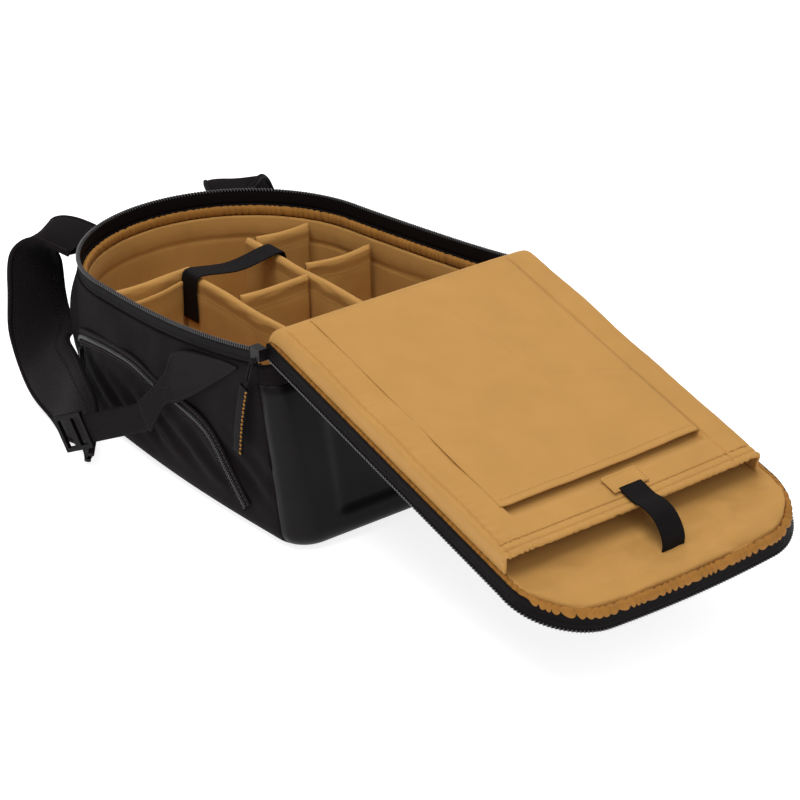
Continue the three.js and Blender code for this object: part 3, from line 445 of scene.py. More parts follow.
class Finishes:
    """The materials, each made once and shared by the pieces that wear it."""
    made = {}

    @classmethod
    def get(cls, name):
        if name not in cls.made:
            maker, *values = cls.recipes()[name]
            cls.made[name] = maker(name, *values)
        return cls.made[name]

    @staticmethod
    def recipes():
        """Each material's maker, with what the maker is given."""
        pitch = bpy.context.scene.bag_sizes.weave_pitch
        colours = bpy.context.scene.bag_colours

        def thread(colour, lighter=1.0, roughness=0.6):
            shade = tuple(c * lighter for c in colour)
            return moulded, shade, roughness, THREAD_GRAIN, 0.03 * MM

        return {
            "tan_cloth": (woven, colours.tan, pitch, 0.05 * MM, 0.72, 0.88, 0.03),
            "tan_binding": (woven, colours.binding, pitch, 0.05 * MM, 0.7, 0.7, 0.03, 60.0),
            "black_cloth": (woven, colours.black, pitch, 0.08 * MM, 0.82, 0.6, 0.005),
            "black_smooth": (woven, colours.black, 0.6 * pitch, 0.04 * MM, 0.68, 0.7, 0.005),
            "black_mesh": (knitted, colours.black, 3.2 * MM),
            "black_webbing": (ribbed, colours.webbing, 2.0 * MM, 0.18 * MM, 0.62, 0.005),
            "zip_tape": (ribbed, colours.webbing, 1.3 * MM, 0.08 * MM, 0.7),
            "black_plastic": (moulded, colours.moulding, 0.42, 2600.0, 0.03 * MM),
            "moulding": (moulded, colours.moulding, 0.5, 1800.0, 0.04 * MM, 0.03),
            # Painted highlight: the grey coil colour stands in for glints on black teeth
            "zip_coil": (moulded, colours.coil, 0.36, 900.0, 0.02 * MM),
            "gold_thread": thread(colours.gold),
            "tan_thread": thread(colours.tan, 1.1, 0.65),
            "grey_thread": thread(colours.webbing, 14),
            "dark_thread": thread(colours.black, 2.2),
        }


# The slot of each material that isn't a slot's own
SLOTS = {
    "tan_thread": "tan_cloth", "gold_thread": "tan_binding", "grey_thread": "black_webbing",
    "black_smooth": "black_cloth", "black_mesh": "black_cloth",
    "dark_thread": "black_cloth", "zip_tape": "black_cloth",
}


# Curves, grids and strips
def lerp(a, b, share):
    return a + (b - a) * share


def step(low, high, x):
    """Smooth rise from 0 at low to 1 at high."""
    share = np.clip((x - low) / (high - low), 0, 1)
    return share * share * (3 - 2 * share)


def hump(middle, half, x):
    """Smooth bump that is 1 in the middle and 0 past half to each side."""
    return step(-half, 0, -np.abs(x - middle))


def ripples(a, b, size, seed, stretch=1.0):
    """Soft uneven waves of about that size, the same each run."""
    random = np.random.default_rng(seed)
    total = 0
    for _ in range(9):
        angle = random.uniform(0, math.pi)
        turn = 2 * math.pi / (size * random.uniform(0.6, 1.7))
        phase = random.uniform(0, 2 * math.pi)
        total = total + np.sin(
            turn * (a * math.cos(angle) + b * math.sin(angle) * stretch) + phase)
    return total / 4.5


def lengths(path):
    steps = np.linalg.norm(np.diff(path, axis=0), axis=-1)
    return np.concatenate([[0], np.cumsum(steps)])


def resample(path, places, columns=3):
    """Rows at those lengths along a path; the first columns are its places."""
    along = lengths(path[:, :columns])
    return np.stack([np.interp(places, along, column) for column in path.T], 1)


def evenly(path, pitch):
    total = lengths(path[:, :3])[-1]
    count = max(2, round(total / pitch))
    return resample(path, (np.arange(count) + 0.5) * total / count)


def unit(vectors):
    return vectors / (np.linalg.norm(vectors, axis=-1, keepdims=True) + 1e-12)


def square_to(path, side):
    """The way across a path, made square to it, and the way up from the two."""
    along = unit(np.gradient(path, axis=0))
    side = unit(side - along * (side * along).sum(1, keepdims=True))
    return side, np.cross(along, side)


def add_piece(name, points, faces, finish, cloth=None):
    mesh = bpy.data.meshes.new(name)
    mesh.from_pydata(points.tolist(), [], faces.tolist())
    if cloth is not None:
        layer = mesh.attributes.new("cloth", "FLOAT_VECTOR", "POINT")
        layer.data.foreach_set("vector", cloth.astype(np.float32).ravel())
    mesh.polygons.foreach_set("use_smooth", np.ones(len(faces), bool))
    mesh.materials.append(Finishes.get(finish))
    piece = bpy.data.objects.new(name, mesh)
    bpy.context.scene.collection.objects.link(piece)
    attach(piece, "root")
    SLOTS.get(finish, finish)
    return piece


def grid(name, points, finish, closed=False):
    """A sheet of quads through rows of points; closed joins each row's two ends."""
    rows, columns = points.shape[:2]
    i, j = np.meshgrid(
        np.arange(rows - 1), np.arange(columns if closed else columns - 1), indexing="ij")
    here, below, right = i * columns, (i + 1) * columns, (j + 1) % columns
    faces = np.stack([here + j, below + j, below + right, here + right], -1).reshape(-1, 4)
    along = np.concatenate([[0], np.cumsum(
        np.linalg.norm(np.diff(points, axis=0), axis=2).mean(1))])
    across = np.concatenate([[0], np.cumsum(
        np.linalg.norm(np.diff(points, axis=1), axis=2).mean(0))])
    cloth = np.zeros((rows, columns, 3))
    cloth[..., 0] = along[:, None]
    cloth[..., 1] = across[None, :]
    return add_piece(name, points.reshape(-1, 3), faces, finish, cloth.reshape(-1, 3))


def thicken(piece, thickness, offset=-1):
    """Give a sheet its thickness: behind its faces at -1, before them at 1."""
    solid = piece.modifiers.new("thickness", "SOLIDIFY")
    solid.thickness = thickness
    solid.offset = offset


def face_away(piece, middle):
    """Turn the faces so that they look away from a point inside."""
    mesh = piece.data
    middle = Vector(middle)
    facing = sum(p.normal.dot(p.center - middle) * p.area for p in mesh.polygons)
    if facing < 0:
        mesh.flip_normals()


def soften(node, width, segments):
    """Round the edges of a solid that stays in sight, and give it its plastic."""
    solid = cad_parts[node]
    solid.data.materials.clear()
    solid.data.materials.append(Finishes.get("black_plastic"))
    bevel = solid.modifiers.new("soft edges", "BEVEL")
    bevel.width = width
    bevel.segments = segments
    bevel.limit_method = "ANGLE"


def trim(piece, co, no):
    """Add an edge where a plane crosses the piece, without taking anything away."""
    form = bmesh.new()
    form.from_mesh(piece.data)
    everything = form.verts[:] + form.edges[:] + form.faces[:]
    bmesh.ops.bisect_plane(form, geom=everything, dist=1e-6, plane_co=co, plane_no=no)
    form.to_mesh(piece.data)
    form.free()


def drop_faces(piece, unwanted):
    form = bmesh.new()
    form.from_mesh(piece.data)
    faces = [f for f in form.faces if unwanted(f.calc_center_median())]
    bmesh.ops.delete(form, geom=faces, context="FACES")
    form.to_mesh(piece.data)
    form.free()


def strip(name, path, side, up, section, finish):
    """Sweep closed sections [row, corner, (side, up)] along a path, with its ends shut."""
    points = path[:, None] + side[:, None] * section[..., :1] + up[:, None] * section[..., 1:]
    first = points[:1].mean(1, keepdims=True).repeat(points.shape[1], 1)
    last = points[-1:].mean(1, keepdims=True).repeat(points.shape[1], 1)
    points = np.concatenate([first, points[:1], points, points[-1:], last])
    return grid(name, points, finish, closed=True)


def oval(rows, width, height, corners=12, square=2.0):
    """Rounded sections, the same in every row; a larger square is boxier."""
    c, s = np.cos(round_turn(corners)), np.sin(round_turn(corners))
    scale = (np.abs(c) ** square + np.abs(s) ** square) ** (-1 / square)
    section = np.stack([c * scale * width / 2, s * scale * height / 2], 1)
    return np.repeat(section[None], rows, 0)


def tape_section(rows, width, height):
    """Sections of a zip's tape, close to a rectangle."""
    return oval(rows, width, height, TAPE_CORNERS, TAPE_SQUARE)


def coil_seat(name, path, way, up):
    """The core that a main coil's turns lie on."""
    core = oval(len(path), 1.1 * RIM_COIL_RADIUS, 1.4 * RIM_COIL_RADIUS, 8)
    return strip(name, path, way, up, core, "zip_tape")


def band(name, path, side, width, thickness, finish):
    """A flat strap along a path, side being the way across it."""
    side, up = square_to(path, side)
    section = oval(len(path), 1.0, thickness, BAND_CORNERS, 6.0)
    section[..., :1] *= np.broadcast_to(width, len(path))[:, None, None]
    return strip(name, path, side, up, section, finish)


def tube(name, path, radius, finish):
    along = unit(np.gradient(path, axis=0))
    helper = np.where(np.abs(along[:, 2:]) < 0.9, [[0, 0, 1.0]], [[1.0, 0, 0]])
    side = unit(np.cross(along, helper))
    up = np.cross(side, along)
    section = oval(len(path), 2 * radius, 2 * radius, TUBE_SIDES)
    return strip(name, path, side, up, section, finish)


def round_turn(sides):
    return 2 * np.pi * np.arange(sides) / sides


def ring_faces(rings, sides):
    """Quads from each ring of points to the next."""
    return np.array([
        [k * sides + i, k * sides + (i + 1) % sides,
         (k + 1) * sides + (i + 1) % sides, (k + 1) * sides + i]
        for k in range(rings - 1) for i in range(sides)])


def bead(length, width, height):
    """A small rounded bar along x, as points and faces, for copying."""
    rings = [(-0.5, 0.02), (-0.46, 0.6), (-0.3, 1), (0.3, 1), (0.46, 0.6), (0.5, 0.02)]
    points = np.array([
        [length * x, width / 2 * r * math.cos(a), height / 2 * r * math.sin(a)]
        for x, r in rings for a in round_turn(BEAD_SIDES)])
    return points, ring_faces(len(rings), BEAD_SIDES)


def hoop(radius, thread, slant):
    """One open turn of a coil, round y, that leans along y."""
    arc = np.radians(np.linspace(-35, 215, HOOP_RINGS))
    thick = np.where(np.arange(HOOP_RINGS) % (HOOP_RINGS - 1), 1.0, 0.05) * thread
    points = np.array([
        [(radius + t * math.cos(b)) * math.cos(a), t * math.sin(b) + slant * math.cos(a),
         (radius + t * math.cos(b)) * math.sin(a)]
        for a, t in zip(arc, thick) for b in round_turn(HOOP_SIDES)])
    return points, ring_faces(HOOP_RINGS, HOOP_SIDES)


def scatter(name, shape, places, along, up, finish):
    """Copies of a small shape at places, fused into one piece."""
    template, faces = shape
    along = unit(along)
    side = unit(np.cross(up, along))
    up = np.cross(along, side)
    points = (places[:, None] + template[None, :, :1] * along[:, None]
              + template[None, :, 1:2] * side[:, None] + template[None, :, 2:] * up[:, None])
    shift = np.arange(len(places))[:, None, None] * len(template)
    return add_piece(name, points.reshape(-1, 3), (faces[None] + shift).reshape(-1, 4), finish)


def stitches(name, path, up, finish, thread=0.55 * MM, slant=0.0):
    """A row of stitches along a path that lies on cloth facing up."""
    sizes = bpy.context.scene.bag_sizes
    both = np.concatenate([path, np.broadcast_to(up, path.shape)], 1)
    both = evenly(both, sizes.stitch_pitch)
    places, up = both[:, :3], both[:, 3:]
    along = np.gradient(places, axis=0)
    if slant:
        flip = np.where(np.arange(len(places)) % 2, slant, -slant)[:, None]
        along = unit(along) + flip * unit(np.cross(up, along))
    shape = bead(sizes.stitch_length, 1.6 * thread, thread)
    return scatter(name, shape, places, along, up, finish)


def coil(name, path, across, up, pitch, radius, finish):
    """The turns of a zip's coil, open towards the tape below."""
    rows = evenly(np.concatenate([path, across, up], 1), pitch)
    shape = hoop(radius - 0.17 * pitch, 0.17 * pitch, 0.4 * pitch)
    return scatter(name, shape, rows[:, :3], rows[:, 3:6], rows[:, 6:], finish)


# The body's outline
def rim_height(x):
    fade = np.exp((x - HINGE_X) / RIM_SAG_LENGTH)
    least = math.exp(-2 * HINGE_X / RIM_SAG_LENGTH)
    lift = RIM_HEIGHT_BOTTOM_END - RIM_HEIGHT_TOP_END
    return RIM_HEIGHT_TOP_END + lift * (fade - least) / (1 - least)


def wall_top(x):
    return rim_height(x) - RIM_TAPE_HEIGHT - RIM_COIL_RADIUS


def side_swell(x):
    return SIDE_BULGE * np.sin(np.pi * np.clip((HINGE_X - x) / (HINGE_X - ARCH_X), 0, 1))


def body_plan(inset, share):
    """The body's outline in plan, once round from the middle of the bottom end."""
    end = HINGE_X + BASE_FLARE * max(0, 1 - share) ** BASE_CURVE - inset
    half = HALF_WIDTH - inset
    radius = lerp(CORNER_RADIUS_FLOOR, CORNER_RADIUS_RIM, share)
    corner = max(3 * MM, radius - inset)
    across = (half - corner) * np.linspace(0, 1, 26, endpoint=False)
    turn = np.linspace(0, math.pi / 2, 12, endpoint=False)
    side = np.linspace(end - corner, ARCH_X, 72, endpoint=False)
    arch = np.linspace(0, math.pi / 2, 56)
    x = np.concatenate([
        np.full(26, end), end - corner + corner * np.cos(turn), side,
        ARCH_X - (TOP_ARCH_LENGTH - inset) * np.sin(arch)])
    y = np.concatenate([
        -across, corner - half - corner * np.sin(turn), -half - side_swell(side),
        -half * np.cos(arch)])
    return np.concatenate([
        np.stack([x, y], 1), np.stack([x, -y], 1)[-2:0:-1]])


def body_skin(inset, bottom, top_drop, edge_radius, wall_rows=44):
    """Rows of points from the middle of the floor out to its edge and up the wall."""
    rows = []

    def ring(ring_inset, height_at):
        share = float(height_at(np.array(HINGE_X)) / wall_top(HINGE_X))
        plan = body_plan(ring_inset, share)
        return np.column_stack([plan, height_at(plan[:, 0])])

    for turn in np.linspace(0, math.pi / 2, 8):
        rise = edge_radius * (1 - math.cos(turn))
        rows.append(ring(
            inset + edge_radius * (1 - math.sin(turn)), lambda x: bottom + rise + 0 * x))
    start = bottom + edge_radius
    for level in np.linspace(0, 1, wall_rows)[1:]:
        rows.append(ring(
            inset, lambda x: lerp(start, wall_top(x) - top_drop, level)))
    edge = rows[0]
    spine = edge.copy()
    spine[:, 0] = np.clip(edge[:, 0], ARCH_X, HINGE_X - 60 * MM)
    spine[:, 1] = 0
    floor = [lerp(spine, edge, share) for share in np.linspace(0, 1, FLOOR_ROWS)[:-1]]
    return np.array(floor + rows)


def outward(points):
    """Ways out of the body's skin, level, for pushing its cloth in and out."""
    plan = points[..., :2]
    tangent = np.roll(plan, -1, 1) - np.roll(plan, 1, 1)
    way = unit(np.stack([tangent[..., 1], -tangent[..., 0]], -1))
    facing = np.sign((way * (plan - [ARCH_X, 0])).sum(-1).mean())
    return np.concatenate([way * facing, np.zeros(way.shape[:2] + (1,))], -1)


SEAM_LEAN = (BASE_SEAM_AT_RIM - BASE_SEAM_AT_FLOOR) / wall_top(HINGE_X)
SEAM_PLANE = (1, 0, -SEAM_LEAN)


def seam_x(z):
    """Where the seam between the cloth and the moulding lies at a height."""
    return HINGE_X + BASE_SEAM_AT_FLOOR + SEAM_LEAN * z


def wall_place(x, side, out=0.0):
    """Points on the outside of a long wall or the arch, and the ways out, in plan."""
    x = np.asarray(x, float)
    turn = np.arcsin(np.clip((ARCH_X - x) / TOP_ARCH_LENGTH, 0, 1))
    arch = x < ARCH_X
    way = unit(np.stack([
        np.where(arch, -np.sin(turn) / TOP_ARCH_LENGTH, 0),
        side * np.where(arch, np.cos(turn) / HALF_WIDTH, 1)], -1))
    y = side * np.where(arch, HALF_WIDTH * np.cos(turn), HALF_WIDTH + side_swell(x))
    return np.stack([x, y], -1) + way * np.asarray(out)[..., None], way


def rim_rows(pitch, start_x=RIM_START_X):
    """Places round the rim from its near end to its far end, with the ways out."""
    straight = np.linspace(start_x, ARCH_X, 120, endpoint=False)
    arch = ARCH_X - TOP_ARCH_LENGTH * np.sin(np.linspace(0, math.pi / 2, 160))
    x = np.concatenate([straight, arch])
    place, way = wall_place(x, -1)
    near = np.column_stack([place, rim_height(x), way, 0 * x])
    far = near[-2::-1] * [1, -1, 1, 1, -1, 1]
    whole = np.concatenate([near, far])
    total = lengths(whole[:, :3])[-1]
    rows = resample(whole, np.linspace(0, total, round(total / pitch)))
    return rows[:, :3], unit(rows[:, 3:])


def outside_body(places, margin):
    """Which places lie clear of the body's walls in plan."""
    x, y = places[:, 0], places[:, 1]
    arch = np.hypot((x - ARCH_X) / TOP_ARCH_LENGTH, y / HALF_WIDTH) > 1 + margin / HALF_WIDTH
    return np.where(x < ARCH_X, arch, np.abs(y) > HALF_WIDTH + side_swell(x) + margin)


def eased(rows, reach):
    """The rows, each averaged with its neighbours, with the two ends kept."""
    padded = np.concatenate([
        2 * rows[:1] - rows[reach:0:-1], rows, 2 * rows[-1:] - rows[-2:-reach - 2:-1]])
    return np.mean([padded[k:k + len(rows)] for k in range(2 * reach + 1)], 0)


def push_from_body(points, margin):
    """How far each row of points must move out, level, to clear the body; and the way."""
    x, y = points[..., 0], points[..., 1]
    reach = np.hypot((x - ARCH_X) / TOP_ARCH_LENGTH, y / HALF_WIDTH)
    short = np.where(
        x < ARCH_X, (1 - reach) * HALF_WIDTH, HALF_WIDTH + side_swell(x) - np.abs(y))
    need = np.maximum(short + margin, 0).max(1)
    spread = np.array([
        need[max(0, k - SPREAD_ROWS):k + SPREAD_ROWS + 1].max() for k in range(len(need))])
    window = np.ones(2 * BLUR_ROWS + 1) / (2 * BLUR_ROWS + 1)
    for _ in range(2):
        spread = np.convolve(np.pad(spread, BLUR_ROWS, "edge"), window, "valid")
    middle = points.mean(1)
    way = np.column_stack([np.minimum(middle[:, 0] - ARCH_X, 0), middle[:, 1], 0 * need])
    return unit(way) * spread[:, None]


# The open panel's frame and outline
def on_panel(d, y, n):
    d, y, n = np.broadcast_arrays(d, y, n)
    return np.stack([
        HINGE_X + d * math.cos(PANEL_TILT) + n * math.sin(PANEL_TILT), y,
        PANEL_HINGE_HEIGHT - d * math.sin(PANEL_TILT) + n * math.cos(PANEL_TILT)], -1)


PANEL_UP = on_panel(0, 0, 1.0) - on_panel(0, 0, 0.0)
PANEL_ALONG = on_panel(1.0, 0, 0) - on_panel(0, 0, 0)


def panel_rows(inset, pitch=None, counts=(60, 26, 44)):
    """The panel's outline [d, y] with the ways out, from near hinge to far hinge."""
    half = HALF_PANEL - inset
    radius = PANEL_CORNER_RADIUS - inset
    end = PANEL_LENGTH - PANEL_RIM_FLARE * 0.965 - PANEL_END_BOW - inset
    side, corner, across = counts
    d = np.linspace(0, end - radius, side, endpoint=False)
    turn = np.linspace(0, math.pi / 2, corner, endpoint=False)
    y = -(half - radius) * (1 - np.linspace(0, 1, across))
    near = np.concatenate([
        np.column_stack([d, 0 * d - half, 0 * d, 0 * d - 1]),
        np.column_stack([
            end - radius + radius * np.sin(turn), radius - half - radius * np.cos(turn),
            np.sin(turn), -np.cos(turn)]),
        np.column_stack([0 * y + end, y, 0 * y + 1, 0 * y])])
    near[:, 0] += PANEL_END_BOW * (near[:, 0] / end) ** 8 * (1 - (near[:, 1] / half) ** 2)
    far = near[-2::-1] * [1, -1, 1, -1]
    rows = np.concatenate([near, far])
    if pitch:
        total = lengths(rows[:, :2])[-1]
        rows = resample(rows, np.linspace(0, total, round(total / pitch)), 2)
    return rows


def panel_path(rows, out, n):
    """World points at out and n from the panel's outline; out may vary by row."""
    out = np.broadcast_to(out, len(rows))
    return on_panel(rows[:, 0] + rows[:, 2] * out, rows[:, 1] + rows[:, 3] * out, n)


def panel_ways(rows):
    return rows[:, 2:3] * PANEL_ALONG + rows[:, 3:4] * np.array([0, 1.0, 0])


class BagOperator:
    """What the piece operators share: each one's make is given the sizes."""
    bl_options = {"REGISTER", "UNDO"}

    def execute(self, context):
        self.make(context.scene.bag_sizes)
        return {"FINISHED"}


class BAG_OT_camera(BagOperator, bpy.types.Operator):
    """Set the camera where the photograph was taken from"""
    bl_idname = "bag.camera"
    bl_label = "Camera"

    def make(self, sizes):
        data = bpy.data.cameras.new("camera")
        data.sensor_width = 36
        data.lens = CAMERA_LENS
        data.clip_start = 0.05
        camera = bpy.data.objects.new("camera", data)
        axes = Matrix((CAMERA_RIGHT, CAMERA_UP, CAMERA_BACK)).transposed().to_4x4()
        camera.matrix_world = Matrix.Translation(CAMERA_PLACE) @ axes
        bpy.context.scene.collection.objects.link(camera)
        bpy.context.scene.camera = camera


class BAG_OT_body(BagOperator, bpy.types.Operator):
    """Make the outer cloth of the body, with its seams and soft folds"""
    bl_idname = "bag.body"
    bl_label = "Body cloth"

    def make(self, sizes):
        points = body_skin(0, 0, 0, FRONT_EDGE_RADIUS)
        x, y, z = np.moveaxis(points, -1, 0)
        level = z / wall_top(x)
        on_wall = step(0.12, 0.3, level)
        folds = ripples(x + 0.4 * y, z, BROAD_FOLD, 4, 0.7) * 0.6
        folds = folds + ripples(x, z, SMALL_FOLD, 9, 0.6) * 0.22
        near = y < 0
        pocket = hump(0.30, 0.30, level) * step(-0.19, 0.0, x) * step(0.235, 0.17, x)
        slack = np.sin(2 * np.pi * (x * 0.8 + z * 1.5) / SLACK_PITCH) * pocket
        slanted = x + SLANT_SEAM_LEAN * (z - SLANT_SEAM_Z)
        seam = hump(SLANT_SEAM_X, SLANT_SEAM_HALF, slanted) * near
        push = sizes.fold_depth * on_wall * (folds + 0.9 * slack * near - 0.9 * seam)
        push *= step(1.0, 0.93, level) * 0.9 + 0.1
        push = np.clip(push, -FOLD_IN, FOLD_OUT)
        top_end = step(TOP_SWELL_START, TOP_SWELL_FULL, x)
        push += TOP_SWELL * top_end * np.sin(np.pi * np.clip(level, 0, 1) ** 1.3)
        points = points + outward(points) * push[..., None]
        shell = grid("body_cloth", points, "black_cloth", closed=True)
        trim(shell, (HINGE_X + BASE_SEAM_AT_FLOOR, 0, 0), SEAM_PLANE)
        trim(shell, (0, 0, BASE_HEIGHT), (0, 0, 1))
        drop_faces(shell, lambda c: c.z < BASE_HEIGHT and c.x > seam_x(c.z) - GAP)
        face_away(shell, BODY_MIDDLE)
        thicken(shell, SHELL_WALL)
        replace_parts(shell, "body_shell")


class BAG_OT_base(BagOperator, bpy.types.Operator):
    """Make the moulded bottom end with its proud corners and sunk middle"""
    bl_idname = "bag.base"
    bl_label = "Moulded base"

    def make(self, sizes):
        points = body_skin(0, 0, 0, FRONT_EDGE_RADIUS, wall_rows=60)
        x, y, z = np.moveaxis(points, -1, 0)
        half = BASE_PANEL_WIDTH / 2
        sunk = step(half + 4 * MM, half - 3 * MM, np.abs(y))
        sunk = sunk * step(BASE_PANEL_SILL - 4 * MM, BASE_PANEL_SILL + 3 * MM, z)
        sunk = sunk * step(HINGE_X - 12 * MM, HINGE_X - 4 * MM, x)
        edge = step(0, BASE_EDGE_BLEND, x - seam_x(z))
        edge = edge * step(BASE_HEIGHT, BASE_HEIGHT - BASE_EDGE_BLEND, z)
        lip = step(0, 12 * MM, z)
        push = BASE_RIB_HEIGHT * (1 - sunk) * edge * lip
        points = points + outward(points) * push[..., None]
        base = grid("moulded_bottom", points, "moulding", closed=True)
        trim(base, (HINGE_X + BASE_SEAM_AT_FLOOR + GAP, 0, 0), SEAM_PLANE)
        trim(base, (0, 0, BASE_HEIGHT - GAP), (0, 0, 1))
        drop_faces(base, lambda c: c.z > BASE_HEIGHT - GAP or c.x < seam_x(c.z) + GAP)
        face_away(base, BODY_MIDDLE)
        thicken(base, SHELL_WALL - GAP)
        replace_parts(base, "moulded_base")
        self.seam_cord()

    def seam_cord(self):
        """Piping that follows the seam between the cloth and the moulding."""
        for name, side in (("near", -1), ("far", 1)):
            z = np.linspace(14 * MM, BASE_HEIGHT, 60)
            x = seam_x(z)
            swell = side * (HALF_WIDTH + side_swell(x) + 0.4 * MM)
            bend = step(HINGE_X - CORNER_RADIUS_FLOOR * 1.1, HINGE_X + 14 * MM, x)
            y = swell - side * bend * PIPING_CORNER_STEP
            path = np.stack([x, y, z], 1)
            tube(f"base_piping_{name}", path, PIPING_RADIUS, "black_smooth")


class BAG_OT_lining(BagOperator, bpy.types.Operator):
    """Make the padded tan lining of the body, with the seam under its edge"""
    bl_idname = "bag.lining"
    bl_label = "Body lining"

    def make(self, sizes):
        edge = FRONT_EDGE_RADIUS - SHELL_WALL - LINING_WALL
        points = body_skin(LINING_INNER, LINING_INNER, BINDING_HEIGHT + GAP, edge)
        x, y, z = np.moveaxis(points, -1, 0)
        top = wall_top(x) - BINDING_HEIGHT
        below = top - z
        around = np.arctan2(y, x + 0.03)
        seam = hump(LINING_SEAM_DROP, 2.2 * MM, below)
        puckers = np.sin(around * 170 + 3 * np.sin(around * 23))
        puckers = puckers * hump(22 * MM, 13 * MM, below)
        crown = np.sin(np.pi * np.clip(below / LINING_SEAM_DROP, 0, 1))
        soft = ripples(x + y, z, 60 * MM, 12) * 0.5
        push = -sizes.pad_puff * (0.8 * crown + 0.25 * puckers + 0.5 * soft)
        push = push + LINING_ROOM * seam
        push *= step(12 * MM, 40 * MM, z)
        push = np.clip(push, -LINING_PUSH_IN, LINING_PUSH_OUT)
        points = points + outward(points) * push[..., None]
        lining = grid("body_padding", points, "tan_cloth", closed=True)
        face_away(lining, BODY_MIDDLE)
        thicken(lining, LINING_WALL - LINING_ROOM, offset=1)
        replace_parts(lining, "body_lining")


class BAG_OT_rim(BagOperator, bpy.types.Operator):
    """Make the body's zip tape, its coil and the gathered binding inside"""
    bl_idname = "bag.rim"
    bl_label = "Body rim"

    def make(self, sizes):
        up = np.array([0, 0, 1.0])
        path, way = rim_rows(3 * MM)
        ups = np.broadcast_to(up, path.shape)
        middle = RIM_TAPE_INSET + TAPE_THICKNESS / 2
        centre = path - way * middle - up * (RIM_TAPE_HEIGHT / 2 + RIM_COIL_RADIUS)
        section = tape_section(len(path), TAPE_THICKNESS, RIM_TAPE_HEIGHT + 1 * MM)
        tape = strip("rim_tape", centre + up * 0.5 * MM, way, ups, section, "zip_tape")
        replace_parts(tape, "body_zip_tape")
        line = path - way * middle
        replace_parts(coil_seat("rim_coil_seat", line, way, ups), "body_zip_coil")
        coil("rim_coil", line, way, ups, sizes.tooth_pitch, RIM_COIL_RADIUS, "zip_coil")
        outer = centre + way * (TAPE_THICKNESS / 2 + 0.1 * MM) - up * 3 * MM
        stitches("rim_tape_stitches", outer, way, "dark_thread")
        self.binding(sizes, up)

    def binding(self, sizes, up):
        path, way = rim_rows(0.9 * MM, RIM_START_X - 4 * MM)
        section = gathered(path, sizes, BINDING_WIDTH, BINDING_HEIGHT, 5)
        drop = RIM_TAPE_HEIGHT + RIM_COIL_RADIUS + BINDING_HEIGHT / 2
        centre = path - way * (LINING_INSET + BINDING_WIDTH / 2) - up * drop
        ups = np.broadcast_to(up, path.shape)
        binding = strip("rim_binding", centre, way, ups, section, "tan_binding")
        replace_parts(binding, "body_rim_binding")


def gathered(path, sizes, width, height, seed, extra=0.0):
    """Sections of a binding drawn up into uneven puckers."""
    along = lengths(path)
    sway = 1.9 * np.sin(along * 2 * np.pi / (38 * MM) + seed) + 0.8 * np.sin(along / (4.1 * MM))
    turn = np.pi * along / sizes.gather_pitch + 0.5 * sway
    uneven = 0.75 + 0.25 * np.sin(along / (7.3 * MM) + 2 * seed)
    section = oval(len(path), width, height, 16, 2.6)
    lean = section[..., 1] / height * 1.1
    lobes = np.abs(np.sin(turn[:, None] + lean)) ** 0.7
    depth = 2 * (sizes.gather_depth + extra) * uneven[:, None] * (lobes - 1)
    scale = 1 + depth[..., None] / np.array([width / 2, height / 2]) * [0.55, 0.5]
    return section * scale


